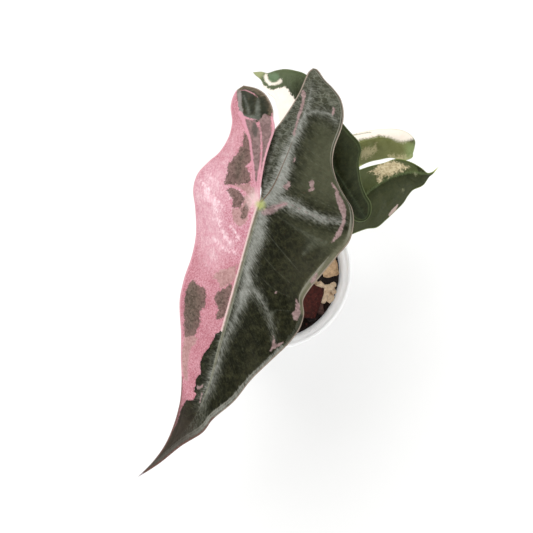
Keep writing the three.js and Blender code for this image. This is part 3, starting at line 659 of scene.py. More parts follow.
def area_depth(at, outline):
    """How far inside an outline each point of the blade lies, in mm; outside it is below 0."""
    a = np.array(outline, float)[None]
    b = np.roll(a, -1, axis=1)
    p = at[:, None]
    run = b - a
    t = np.clip(((p - a) * run).sum(-1) / (run ** 2).sum(-1), 0, 1)
    gap = np.linalg.norm(p - a - t[..., None] * run, axis=-1).min(1)
    spans = (a[..., 1] > p[..., 1]) != (b[..., 1] > p[..., 1])
    rise = np.where(run[..., 1] == 0, 1, run[..., 1])
    crossing = p[..., 0] < run[..., 0] * (p[..., 1] - a[..., 1]) / rise + a[..., 0]
    inside = (spans & crossing).sum(1) % 2
    return np.where(inside, gap, -gap)


def line_depth(at, line):
    """How far inside a line of (x, y, half width) points each point of the blade lies, in mm."""
    spots = np.array(line, float)
    a, b = spots[None, :-1], spots[None, 1:]
    run = b[..., :2] - a[..., :2]
    t = np.clip(((at[:, None] - a[..., :2]) * run).sum(-1) / (run ** 2).sum(-1), 0, 1)
    gap = np.linalg.norm(at[:, None] - a[..., :2] - t[..., None] * run, axis=-1)
    return (a[..., 2] + t * (b[..., 2] - a[..., 2]) - gap).max(1)


def deepest(at, areas=(), lines=()):
    """How far inside any of these areas and lines each point lies."""
    depths = [area_depth(at, outline) for outline in areas] + [line_depth(at, line) for line in lines]
    return np.max(depths, axis=0)


def bell(gap, width):
    """1 on a line, falling away to 0 at about twice this width from it."""
    return np.exp(-(gap / width) ** 2)


def emboss(leaf, mesh):
    """Sinks the veins, bows the blade up between them, and tells its skin which way they run.

    Returns the facts of every vertex as arrays, and its place in the leaf's plane."""
    facts = {}
    for name in FACTS:
        facts[name] = np.empty(len(mesh.vertices), np.float32)
        mesh.attributes[name].data.foreach_get("value", facts[name])
    co = np.empty(len(mesh.vertices) * 3, np.float32)
    mesh.vertices.foreach_get("co", co)
    co = co.reshape(-1, 3)
    along, margin = facts["along"], facts["margin"]
    out = facts["out"] = np.abs(facts["reach"])

    def lean(length):
        """How far a side vein that starts here runs on towards the tip for each mm that it runs outwards."""
        return np.clip(-0.25 + 0.033 * length, -0.25, 0.8)

    slope = lean(along)
    for _ in range(2):
        start = along - slope * out
        slope = lean(start)
    spacing = np.where(start > 0, leaf["side_veins"], leaf["lobe_veins"])
    off = (start / spacing - np.round(start / spacing)) * spacing
    bowed = np.cos(math.pi * off / spacing) ** 2
    fade = np.clip(out / 4, 0, 1) * np.clip((margin - 3) / 5, 0, 1)
    collar = np.interp(along, *zip(*leaf["collar"]))
    # In mm: up 0.75 halfway between side veins and down 0.4 on them; a groove 0.5 deep along the midrib
    # with a rib 0.4 high in it; the very edge up 0.2 and the outermost vein down 0.22; fine waves of 0.16
    relief = fade * (0.75 * (1 - bowed) - 0.4 * bell(off, 0.9))
    relief += -0.5 * bell(out, 1.5) + 0.4 * bell(out, 0.55)
    relief += -0.22 * bell(margin - collar, 0.5) + 0.2 * bell(margin, 0.9)
    relief += 0.16 * np.sin(start * 1.1 + 3 * np.sin(out * 0.35)) * fade
    # Two finer veins lie between each pair of side veins
    fine_spacing = spacing / 3
    off_fine = np.abs(start / fine_spacing - np.round(start / fine_spacing)) * fine_spacing
    facts["vein"] = 0.16 * fade - off_fine - 1 + fade
    room = np.clip((leaf["tip"][0] - along) / 12, 0.15, 1)
    co[:, 2] += relief * room * np.clip(margin + 0.4, 0, 1)
    mesh.vertices.foreach_set("co", co.ravel())
    grain = np.stack([along - 0.35 * slope * out, facts["reach"], np.zeros_like(start)], axis=1)
    grain = grain.astype(np.float32).ravel()
    mesh.attributes.new("grain", "FLOAT_VECTOR", "POINT").data.foreach_set("vector", grain)
    return facts, co[:, :2]


def mark(mesh, marks):
    """Writes how deep each vertex lies inside each marking, for the skin to colour."""
    for name, depth in marks.items():
        mesh.attributes.new(name, "FLOAT", "POINT").data.foreach_set("value", depth.astype(np.float32))


def hang(leaf, mesh, skin):
    """Turns and moves a finished blade from its own frame to its joint on the plant."""
    joint = Matrix.Translation(JOINTS[leaf["name"]])
    mesh.transform(joint @ Matrix.Rotation(math.radians(leaf["heading"]), 4, "Z"))
    mesh.transform(Matrix.Scale(MM, 4))
    blade = leaf["name"] + "_blade"
    settle(mesh, leaf["name"] + "_leaf", skin, blade)


@dataclass
class Coat:
    """How a marking looks: two colours that its pattern mixes, how ragged and soft its edge is, its cover.

    jag makes the edge ragged all round, comb along the side veins. A netted coat shows only in the net."""
    mark: str
    dark: str
    light: str
    jag: float = 0.0
    comb: float = 0.0
    soft: float = 0.12
    cover: float = 1.0
    pattern: str = "mottle"
    netted: bool = False


def leaf_skin(name, green, coats, fleck_size):
    """Waxy leaf skin: a mottled green, with each marking laid over it, ragged along the cells of the leaf."""
    skin, place = new_skin(name)
    grain = add(skin, "Attribute", attribute_name="grain").outputs["Vector"]

    def drawn_out(width, length):
        """The grain, for a pattern this wide and this long in mm, drawn out along the side veins."""
        return add(skin, "VectorMath", grain, (1 / width, 1 / length, 1), operation="MULTIPLY")

    streak = add(skin, "TexNoise", Vector=drawn_out(0.6, 2.4), Scale=1.0, Detail=4.0, Roughness=0.65)
    bands = add(skin, "TexNoise", Vector=drawn_out(2.4, 8), Scale=1.0, Detail=3.0)
    cells = add(skin, "TexVoronoi", Vector=place, Scale=per(0.9), feature="F1").outputs["Color"]
    cell = add(skin, "SeparateXYZ", cells)
    ragged = add(skin, "TexNoise", Vector=place, Scale=per(2.2), Detail=4.0, Roughness=0.62)
    mottle = add(skin, "TexNoise", Vector=place, Scale=per(3.0), Detail=8.0, Roughness=0.78)
    jag = add(skin, "Math", cell, 0.5, ragged, operation="MULTIPLY_ADD")
    jag = add(skin, "Math", jag, 0.75, operation="SUBTRACT")
    comb = add(skin, "Math", streak, 1.0, bands, operation="MULTIPLY_ADD")
    comb = add(skin, "Math", comb, 1.0, operation="SUBTRACT")
    frost = add(skin, "Math", streak, 0.8, mottle, operation="MULTIPLY_ADD")
    frost = add(skin, "MapRange", frost, 0.72, 1.08)

    # The green is darkest beside the silver, and turns to a greyer olive further out
    silver = add(skin, "Attribute", attribute_name="silver").outputs["Fac"]
    silver = add(skin, "Math", comb, 8.0, silver, operation="MULTIPLY_ADD")
    away = add(skin, "MapRange", silver, -green["fade"], -green["dark_to"], 1.0, 0.0)
    body = add(skin, "MixRGB", away, green["dark"], green["light"])
    warm = add(skin, "MapRange", mottle, 0.46, 0.64, 0.0, 0.6)
    body = add(skin, "MixRGB", warm, body, green["warm"])
    deep = add(skin, "MapRange", mottle, 0.36, 0.5, 0.45, 0.0)
    body = add(skin, "MixRGB", deep, body, green["dark"])
    fine = add(skin, "MapRange", streak, 0.5, 0.75)
    hair = add(skin, "Math", fine, 0.15, operation="MULTIPLY")
    body = add(skin, "MixRGB", hair, body, green["pale"])

    # Fine pale hairs join into a net, whose meshes are 2 by 4 mm and worn away in places
    bent = add(skin, "TexNoise", Vector=place, Scale=per(2.2), Detail=3.0).outputs["Color"]
    meshed = add(skin, "VectorMath", bent, (2.0, 2.0, 0), drawn_out(2.0, 4.2), operation="MULTIPLY_ADD")
    net = add(skin, "TexVoronoi", Vector=meshed, Scale=1.0, feature="DISTANCE_TO_EDGE")
    net = add(skin, "MapRange", net, 0.01, 0.13, 1.0, 0.0)
    worn = add(skin, "MapRange", frost, 0.0, 1.0, 0.35, 1.0)
    net = add(skin, "Math", net, worn, operation="MULTIPLY")
    netted = add(skin, "Math", net, green["net"], operation="MULTIPLY")
    body = add(skin, "MixRGB", netted, body, green["pale"])

    # The patterns that mix the two colours of a marking
    fleck = add(skin, "TexNoise", Vector=place, Scale=per(fleck_size), Detail=5.0, Roughness=0.7)
    drift = add(skin, "TexNoise", Vector=place, Scale=per(9), Detail=2.0)
    fleck = add(skin, "Math", drift, 0.25, fleck, operation="MULTIPLY_ADD")
    fleck = add(skin, "MapRange", fleck, 0.52, 0.78)
    drawn = add(skin, "Mapping", Vector=place, Rotation=(0, 0, 0.5), Scale=(1.0, 0.6, 1.0))
    wisp = add(skin, "TexNoise", Vector=drawn, Scale=per(1.9), Detail=7.0, Roughness=0.7, Distortion=0.8)
    wisp = add(skin, "MapRange", wisp, 0.42, 0.7)
    blotch = add(skin, "Math", cell, 0.5, mottle, operation="MULTIPLY_ADD")
    blotch = add(skin, "MapRange", blotch, 0.5, 1.0)
    patterns = {"fleck": fleck, "frost": frost, "mottle": mottle, "blotch": blotch, "wisp": wisp}
    for coat in coats:
        depth = add(skin, "Attribute", attribute_name=coat.mark).outputs["Fac"]
        depth = add(skin, "Math", jag, coat.jag, depth, operation="MULTIPLY_ADD")
        depth = add(skin, "Math", comb, coat.comb, depth, operation="MULTIPLY_ADD")
        cover = add(skin, "MapRange", depth, -coat.soft, coat.soft, 0.0, coat.cover,
                    interpolation_type="SMOOTHSTEP")
        if coat.netted:
            cover = add(skin, "Math", cover, net, operation="MULTIPLY")
        tint = add(skin, "MixRGB", patterns[coat.pattern], coat.dark, coat.light)
        body = add(skin, "MixRGB", cover, body, tint)

    # The underside is paler and greyer, with the same markings showing through
    below = add(skin, "Attribute", attribute_name="under").outputs["Fac"]
    below = add(skin, "MapRange", below, 0.4, 0.9, 0.0, 0.6)
    body = add(skin, "MixRGB", below, body, green["under"])

    pimples = add(skin, "TexVoronoi", Vector=place, Scale=per(0.6), feature="F1").outputs["Distance"]
    bump = add(skin, "Bump", Height=streak, Strength=0.35, Distance=0.0003)
    bump = add(skin, "Bump", Height=pimples, Strength=0.12, Distance=0.0002, Normal=bump)
    shine = add(skin, "MapRange", mottle, 0.3, 0.7, 0.42, 0.54)
    finish_skin(skin, Base_Color=body, Roughness=shine, Normal=bump, IOR=1.4, Specular_IOR_Level=0.12,
                Subsurface_Weight=0.03, Subsurface_Radius=(0.002, 0.001, 0.001), Subsurface_Scale=1.0)
    return skin


# Outlines and lines of the front leaf's markings, as (x, y) and (x, y, half width).
# First the silver bands
SILVER_BANDS = [
    # beside the midrib
    [(1, 1.5, 1.5), (6, 3.5, 3), (15, 5.5, 3.5), (19.5, 5.5, 3), (24, 6.5, 3), (28.5, 7, 2.5), (32.5, 9, 3),
     (37, 10, 3.5), (41.5, 10.5, 3), (46.5, 10.5, 2.5), (51, 11, 3), (56, 11, 3), (61.5, 11, 2.5),
     (67, 12, 2), (72.5, 12.5, 2), (80, 13, 1.5), (85.5, 13.5, 1), (94, 13.5, 0.5)],
    # along the vein of the green lobe, and the branch that arches off near its end
    [(-1.5, 1.5, 2.5), (-5, 3, 4), (-9.5, 3.5, 4), (-14, 3.5, 4), (-20, 2.5, 3.5), (-26.5, 1.5, 3),
     (-32.5, 1, 2.5), (-38.5, 1, 2.5), (-44.5, 1, 2), (-50.5, 0, 1.5), (-58, -1.5, 1)],
    [(-44.5, 1.5, 1.5), (-47, 3, 1.5), (-49, 6, 1), (-50, 9.5, 1), (-50, 12, 0.5), (-48.5, 15, 0.5)],
    # along the side veins of the green half
    [(-3, 2.5, 2), (-4.5, 6.5, 3), (-6, 10.5, 2.5), (-6, 16, 2.5), (-6, 22.5, 2), (-7, 29, 1.5),
     (-9, 36.5, 1)],
    [(33.5, 9.5, 1.5), (35, 12, 1.5), (36, 15, 1.5), (38, 19, 1), (40, 21.5, 1), (43.5, 25.5, 0.5),
     (47.5, 28.5, 0.5), (51.5, 31, 0.5)],
    # left of the midrib and down to the tip
    [(27, 2.5, 1), (32.5, 3.5, 1), (57.5, 8, 0.8), (64.5, 9.4, 0.8), (72, 10.6, 0.8), (78.5, 11.5, 0.8),
     (85.5, 12, 0.6), (90.5, 12, 0.4)],
    # along the inner edge of the green lobe
    [(-53, -7, 0.5), (-47, -6.5, 0.5), (-38.5, -6, 0.5), (-31, -5, 0.5), (-24, -4.5, 0.5), (-15, -3, 0.5),
     (-7, -1, 1)],
]
# The green cap of the pink lobe, and the green that takes over the pink half towards the tip
CAP = [(-47, -34), (-42.5, -31.5), (-40, -30), (-38, -29), (-35.5, -27), (-34, -25.5), (-33, -24),
       (-33, -21.5), (-33, -19.5), (-32.5, -17.5), (-32.5, -16), (-34, -16), (-35.5, -15.5), (-36.5, -15),
       (-37.5, -15), (-37.5, -12.5), (-38.5, -10), (-44, -12), (-49, -18), (-53, -25), (-52, -34)]
GREEN_TIP = [(55.5, 8), (58.5, 7), (60.5, 5.5), (63, 6), (66, 5.5), (69.5, 5), (71, 4.5), (73, 4.5),
             (75, 4.5), (77, 5.5), (79.5, 7), (81, 6.5), (83.5, 6), (86, 7), (88, 7), (89.5, 8), (89.5, 9),
             (92.5, 9), (93.5, 7.5), (94, 6), (97, 5.5), (100, 5.5), (103, 6), (107, 6.5), (111.5, 6),
             (115.5, 6), (120, 5), (129, 2), (139, -1), (145, 2), (108.5, 19.5), (50, 18.5)]
# The grey band at the foot of the cap
CAP_GREY = [(-46.5, -34), (-45.5, -31), (-42, -28.5), (-38.5, -27), (-36, -25), (-33, -24), (-34, -25.5),
            (-36, -27.5), (-38, -29), (-40.5, -30), (-44, -32.5)]
# Thin dusky veils over the pink
VEILS = [
    [(6.5, -10.5), (5, -7.5), (1, -7), (-2, -8), (-4, -6.5), (-6, -5.5), (-3.5, -4), (0, -3.6), (1.5, -3),
     (5.5, -2.4), (9.5, -1.8), (12, -3), (12.5, -5), (11, -8), (8.5, -10)],
    [(-2.5, -18.5), (-4, -15.5), (-5, -10.5), (-7, -8.5), (-5.5, -6.5), (-2.5, -4.5), (0.5, -2.8), (0, -4.5),
     (-1.5, -7.5), (-2.5, -10.5), (-3, -14), (-2, -17.5)],
    [(28, 2), (30, 0), (31.5, -1.5), (33.5, -3.5), (35, -5), (37, -6), (38, -5.5), (38, -3.5), (39, -2),
     (41, -1), (40, 0.5), (39, 1.5), (37, 2.5), (35.5, 3.5), (32.5, 3.5)],
    [(67, -7.5), (66, -5.5), (65.5, -3), (66, -1), (68.5, -1), (73, -2), (76, -1), (79.5, 0), (83, 1.5),
     (85.5, 2.5), (86.5, 1.5), (84, -0.5), (80, -3), (76, -5), (71.5, -6)],
]
# Brown stripes beside the pink lobe's vein, and a dark spot in the first
STRIPES = [
    [(-32.5, -22), (-32.5, -19.5), (-32, -17), (-30.5, -15.5), (-28.5, -13.5), (-24.5, -11.5), (-20.5, -9.5),
     (-16.5, -8), (-12, -7), (-8.5, -5.5), (-8, -6), (-12.5, -8.5), (-16, -10.5), (-20, -13), (-24, -15),
     (-27.5, -18), (-30.5, -20.5)],
    [(-34.5, -16), (-35.5, -15), (-37.5, -15), (-37, -12.5), (-35.5, -11.5), (-31.5, -9.5), (-28, -8),
     (-24.5, -7.5), (-21.5, -7), (-18, -6), (-14.5, -5), (-13.5, -5), (-17.5, -7), (-22, -8.5),
     (-26, -10.5), (-30, -13), (-33, -15)],
]
STRIPE_SPOT = [(-31.5, -17.3, 0.8), (-29, -16, 1.5), (-26.5, -14.4, 0.6)]
# Maroon patches on the pink half, darker in their cores
MAROON_CORES = [
    [(46.5, -13, 3), (51, -10.5, 4.5), (57, -8, 3), (62, -6, 1.5)],
    [(42, 1, 0.4), (47.5, 3, 0.6)], [(-18, -16, 0.6), (-12.5, -16, 1.4), (-7, -14, 1.2)],
]
MAROON = [
    [(-26.5, -20), (-23, -19), (-20.5, -18.5), (-18, -19), (-16, -19), (-14.5, -20), (-12.5, -20),
     (-11.5, -21), (-9.5, -20.5), (-8, -19.5), (-6, -19.5), (-3.5, -19), (-2, -18.5), (-3, -15.5),
     (-4, -13), (-5, -10.5), (-6, -8), (-8, -8), (-10.5, -10), (-11, -11), (-12, -11.5), (-12.5, -12.5),
     (-13, -12.5), (-14, -11.5), (-15.5, -11.5), (-18, -12.5), (-20.5, -14), (-23.5, -16), (-25.5, -18)],
    [(-1, -17.5), (-1.5, -15.5), (-2, -12.5), (-1.5, -10), (0, -7.5), (2, -6.5), (3.5, -7), (5, -7),
     (5.5, -8.5), (6, -11), (4.5, -11.5), (3, -11.5), (1.5, -14), (0.5, -15), (0, -16.5)],
    [(4, -6), (2.5, -5.5), (3.5, -4), (6, -3), (8.5, -2.5), (9.5, -4.5), (8.5, -5.5), (7, -5.5), (5.5, -6.5)],
    [(51, -14.5), (48.5, -15), (46.5, -15), (44.5, -15), (42.5, -13.5), (43.5, -11.5), (44, -9.5), (43.5, -8),
     (45, -6), (47, -5), (49.5, -4), (52, -3.5), (53, -5), (54.5, -5), (57, -3.5), (59, -2.5), (61.5, -2.5),
     (63.5, -2.5), (65.5, -3), (67, -5.5), (68, -7), (63, -9.5), (57.5, -12)],
    [(46.5, -1), (44, -1.5), (42.5, -0.5), (40.5, 0), (40, 1.5), (38, 2.5), (37, 3), (37, 4), (39.5, 4.5),
     (41.5, 5), (44, 5.5), (46, 6), (48.5, 6.5), (50.5, 6.5), (52.5, 6.5), (53.5, 5), (54, 4), (53.5, 3),
     (51.5, 2.5), (49.5, 2.5), (48.5, 1.5), (47.5, 0)],
]
# Pink specks and streaks on the green half, and on the green tip
BLUSHES = [
    [(85.5, 8), (85.5, 9.5), (84, 10), (85, 11), (86, 10), (87.5, 9), (86.5, 8)],
    [(87, 11), (88, 12), (92.5, 12.5), (92, 12), (89.5, 11.5)],
    [(-23, 5.5), (-24.5, 5), (-25.5, 5.5), (-24, 6)],
    [(-11.5, 5.5), (-13, 7), (-14.5, 6.5), (-14.5, 8), (-13, 9), (-12, 8.5), (-10.5, 8.5), (-11, 7)],
    [(-18.5, 15.5), (-20, 16.5), (-19, 18), (-18, 18), (-17, 19), (-15.5, 18.5), (-14.5, 17), (-15.5, 16.5),
     (-16.5, 17.5), (-17.5, 16.5)],
    [(-23, 24.5), (-22, 26.5), (-20.5, 29), (-18.5, 31), (-17, 33.5), (-15, 35.5), (-11.5, 37), (-8.5, 38),
     (-6, 38), (-3, 38.5), (-2, 37.5), (-0.5, 37), (1.5, 36), (1, 35.5), (-1.5, 36), (-3.5, 36), (-6.5, 36.5),
     (-9, 36.5), (-12, 35), (-13.5, 33), (-14.5, 32), (-16, 30.5), (-18.5, 28.5), (-20.5, 27.5), (-21.5, 25)],
    [(-54, 11), (-54, 12.5), (-52.5, 12.5), (-50, 12.5), (-50.5, 12), (-52.5, 11.5)],
    [(-55.5, -4.5), (-54, -2.5), (-51, -1.5), (-47, -0.5), (-43, -0.5), (-38, 0.5), (-33, 1.5), (-34, 0),
     (-38.5, -0.5), (-43, -1.5), (-47, -2), (-51, -3), (-53, -4.5)],
    [(50, 30), (51.5, 31.5), (53, 32.5), (52, 34), (50.5, 35.5), (52.5, 35), (54.5, 33.5), (55.5, 32.5),
     (57.5, 32), (57, 31.5), (55, 31.5), (53, 31)],
    [(30.5, 32), (31, 33.5), (32.5, 35), (35, 36.5), (39, 37), (39.5, 35.5), (37.5, 33), (36, 34), (34.5, 34),
     (32.5, 33)],
    [(31.8, 22.4), (31.5, 23), (32, 23.4), (32.5, 23)],
    [(16, 35.5), (17, 37), (19.5, 36.5), (22, 35.5), (21, 34.5), (19, 35)],
]
# In the cap: its dark cells, the grey veins between them, and the pink arc over them
CAP_CELLS = [
    [(-45.5, -30, 0.4), (-44.5, -28.5, 1.2), (-41, -26.5, 1.6), (-38, -25, 1.0)],
    [(-44.5, -25, 0.8), (-41, -23.2, 1.3), (-38, -21.5, 1.0)],
    [(-45.5, -19.5, 1.0), (-42, -17, 1.5), (-38.5, -15, 1.2)],
]
CAP_VEINS = [
    [(-44, -21.5, 0.3), (-42, -20.5, 0.7), (-39.5, -19.5, 0.9), (-36.5, -18, 1.1), (-34.5, -16.5, 0.8)],
    [(-33.6, -23.5, 0.8), (-33.6, -21, 1.3), (-34, -18.5, 1.4), (-34.8, -16, 0.8)],
    [(-43, -28, 0.1), (-39, -24.5, 0.35), (-35.5, -22, 0.6)],
]
CAP_ARC = [(-45.5, -31, 0.1), (-46.4, -29, 0.25), (-46, -26.5, 0.3), (-45.5, -24, 0.3), (-44.5, -22, 0.2)]
# Pink lines along the veins of the pink lobe and the edge between it and the green one
PINK_LINES = [
    [(-34.5, -26, 0.9), (-32.5, -23.5, 0.9), (-30, -21.5, 0.7), (-27, -18.5, 0.6), (-24, -16, 0.5),
     (-20, -13.4, 0.5), (-16, -11, 0.45), (-12.5, -8.7, 0.45), (-8.5, -6.5, 0.45), (-3, -3, 0.4)],
    [(-34, -16.5, 0.1), (-32, -15, 0.2), (-29, -13, 0.25), (-23.5, -10, 0.28), (-19.5, -8.2, 0.3),
     (-15.5, -6.8, 0.35), (-10, -5.5, 0.4), (-5, -3.5, 0.4), (-1, -1.5, 0.4)],
    [(0.6, -2.6, 0.2), (-1, -5.5, 0.25), (-2.5, -9, 0.28), (-3, -12, 0.28), (-3, -15.5, 0.28),
     (-1.5, -18, 0.28)],
    [(-12.5, -12.5, 0.3), (-13.5, -11.5, 0.7), (-15, -10.5, 0.6)],
    [(-33, -24, 0.5), (-33, -20.5, 0.4), (-33.5, -17.5, 0.3)],
]
# The fine line along the first side vein, and the soft streak and rose line beside the joint
SIDE_LINE = [(-4.8, 8, 0.1), (-5.8, 10.5, 0.22), (-6, 16, 0.22), (-6, 22.5, 0.2), (-7, 29, 0.15),
             (-9, 36.5, 0.1)]
JOINT_STREAK = [(2.4, 3.4, 1.2), (0.6, 5.2, 1.4), (-2.0, 7.2, 1.1), (-4.0, 9, 0.8), (-5.2, 10.6, 0.4)]
ROSE_LINE = [(-1.6, 6.2, 0.1), (-3.4, 8.2, 0.25), (-5.3, 10.6, 0.25)]
# Where the pink is palest: in fine wisps, and in soft zones
PALE_WISPS = [
    [(0, -28.5, 0.6), (3, -25.5, 1.2), (5.5, -23.5, 1.8), (6.5, -19.5, 1.4), (7, -15.5, 0.4)],
    [(6.5, -20.5, 0.7), (9.5, -17.5, 0.6), (14, -13.5, 0.5), (15.5, -12, 0.2)],
    [(-4.5, -29.5, 0.2), (-3, -25.5, 0.4), (-3, -22, 0.2)],
    [(6.5, -27.5, 0.3), (7, -24, 0.5), (6.5, -20.5, 0.5)],
    [(17.5, -10.5, 0.7), (20, -6.5, 1.1), (22, -3.5, 0.7), (23.5, -0.5, 0.2)],
    [(22, -12, 0.2), (23.5, -8, 0.4), (24.5, -4, 0.2)], [(14, -8, 0.3), (15.5, -4.5, 0.5), (18, -1.5, 0.2)],
    [(0, -17.5, 0.2), (1.5, -14, 0.4), (1.5, -11, 0.2)],
]
PALE_ZONES = [
    [(-6, -23, 5), (4, -25, 6), (14, -18, 5), (24, -12, 5), (32, -10, 3)],
    [(2, -22, 4), (-12, -22, 2), (-22, -23, 1)],
]

# Depth that stands for outside a marking, and for far outside one with a very soft edge
OUTSIDE = -9
FAR_OUTSIDE = -20
front_mesh = blade_mesh(FRONT)
facts, flat = emboss(FRONT, front_mesh)
along, out, margin, half = facts["along"], facts["out"], facts["margin"], facts["half"]
inner_side = (along < 0) & (np.sign(facts["reach"]) != np.sign(half))
outer_green = (half > 0) & ~inner_side
collar = np.interp(along, *zip(*FRONT["collar"])) - margin
silver = deepest(flat, [], SILVER_BANDS) - np.interp(along, (38, 58, 72, 85), (0, 1.1, 0.6, -0.6))
silver -= np.where(inner_side, np.interp(along, (-34, -14, -2), (1.0, 0.1, 0)), 0)
cap = deepest(flat, [CAP])
pink = np.minimum(np.minimum(-half, -cap), -deepest(flat, [GREEN_TIP]))
maroon = deepest(flat, MAROON)
# A soft marking inside the pink keeps its own edge there, and ends sharply where the pink does
pink_room = np.where(pink > 0, 40, 30 * pink)
mark(front_mesh, {
    "silver": silver,
    "grey_cap": deepest(flat, [CAP_GREY]),
    "collar": np.where(outer_green, collar, OUTSIDE),
    "collar_low": np.where(outer_green & (along > 42), np.minimum(collar, 1.4 * margin - 1), OUTSIDE),
    "collar_line": np.where(
        outer_green, 0.2 - np.minimum(np.abs(collar), np.abs(collar - 1.2) + 0.08), OUTSIDE),
    "silver_core": silver - np.interp(
        along, (-60, -40, -20, 0, 30, 45, 60, 80), (1.4, 1.1, 1.0, 0.9, 1.3, 1.4, 1.8, 1.6)),
    "vein": facts["vein"],
    # Painted light: the green lobe painted lighter, away from the silver, as if lit
    "lobe_painted_light": np.where(
        half > 0, np.minimum(np.where(inner_side, -22, -6) - along, -silver - 4), FAR_OUTSIDE),
    "collar_mid": np.where(outer_green, np.minimum(collar, 20 - np.abs(along - 3)), OUTSIDE),
    # Over the ends of the green half: a lighter grey that is painted light, as if lit from above, and the
    # real net of fine pale hairs
    "frost_and_painted_light": np.where(
        half > 0, np.where(inner_side, -14 - along, np.maximum(-51 - along, along - 100)), FAR_OUTSIDE),
    "tip_dark": along - 108,
    "tip_edge": np.minimum(along - 95, 0.9 - margin),
    "tip_end": along - 147.5,
    "pink": pink,
    "pink_vein": np.minimum(facts["vein"], pink),
    "deep_pink": np.minimum(np.maximum(-12 - along, along - 26), pink_room),
    "pale_zone": np.minimum(deepest(flat, [], PALE_ZONES), pink_room),
    "pale_wisp": np.minimum(deepest(flat, [], PALE_WISPS), pink),
    "veil": deepest(flat, VEILS),
    "maroon": maroon,
    "maroon_core": np.minimum(deepest(flat, [], MAROON_CORES), 4 * maroon),
    "stripe": deepest(flat, STRIPES) + 0.5,
    "stripe_spot": line_depth(flat, STRIPE_SPOT),
    "cap_rim": np.minimum(cap, 2.6 - margin),
    "cap_cell": np.minimum(cap, deepest(flat, [], CAP_CELLS)),
    "cap_vein": np.minimum(cap, deepest(flat, [], CAP_VEINS)),
    "cap_arc": line_depth(flat, CAP_ARC),
    "blush": deepest(flat, BLUSHES),
    "pink_line": np.maximum(
        deepest(flat, [], PINK_LINES),
        np.where((half < 0) & inner_side & (along > -40), 0.9 - margin, OUTSIDE)),
    "brown_line": np.where(
        (along < 0) & (half > 0), np.interp(along, (-48, -30, -12, 0), (-1, 0.1, 0.28, 0.34)) - out, OUTSIDE),
    "side_line": line_depth(flat, SIDE_LINE),
    "streak": line_depth(flat, JOINT_STREAK),
    "rose_line": line_depth(flat, ROSE_LINE),
    "joint_glow": np.where(half < 0, 3.2 - np.linalg.norm(flat - np.array((-1, -2.5)), axis=1), OUTSIDE),
    "midrib": np.where(
        along > 0, np.interp(along, (0, 20, 75, 92, 108), (1.3, 1.25, 0.8, 0.5, -0.3)) - out, OUTSIDE),
    "midrib_core": np.where(along > 0, np.interp(along, (0, 60, 95), (0.35, 0.25, 0)) - out, OUTSIDE),
    "pink_edge": np.where((along > -2) & (along < 62), 0.45 - np.abs(half + 1.2), OUTSIDE),
    "rim": np.interp(along, (-60, 60, 110, 139), (0.55, 0.55, 0.4, 0.1)) - margin,
    "pink_rim": np.where(
        (half < 0) & (cap < 0.3),
        np.interp(along, (40, 80, 112, 120), (1.0, 0.8, 0.5, -1)) - margin, OUTSIDE),
    "joint_spot": 1.9 - np.linalg.norm(flat - np.array((0.2, 0.4)), axis=1),
})
front_green = dict(dark="#0E0F02", light="#39382B", warm="#383722", pale="#5F6249", under="#8C8A7C",
                   fade=26.0, dark_to=8.0, net=0.11)
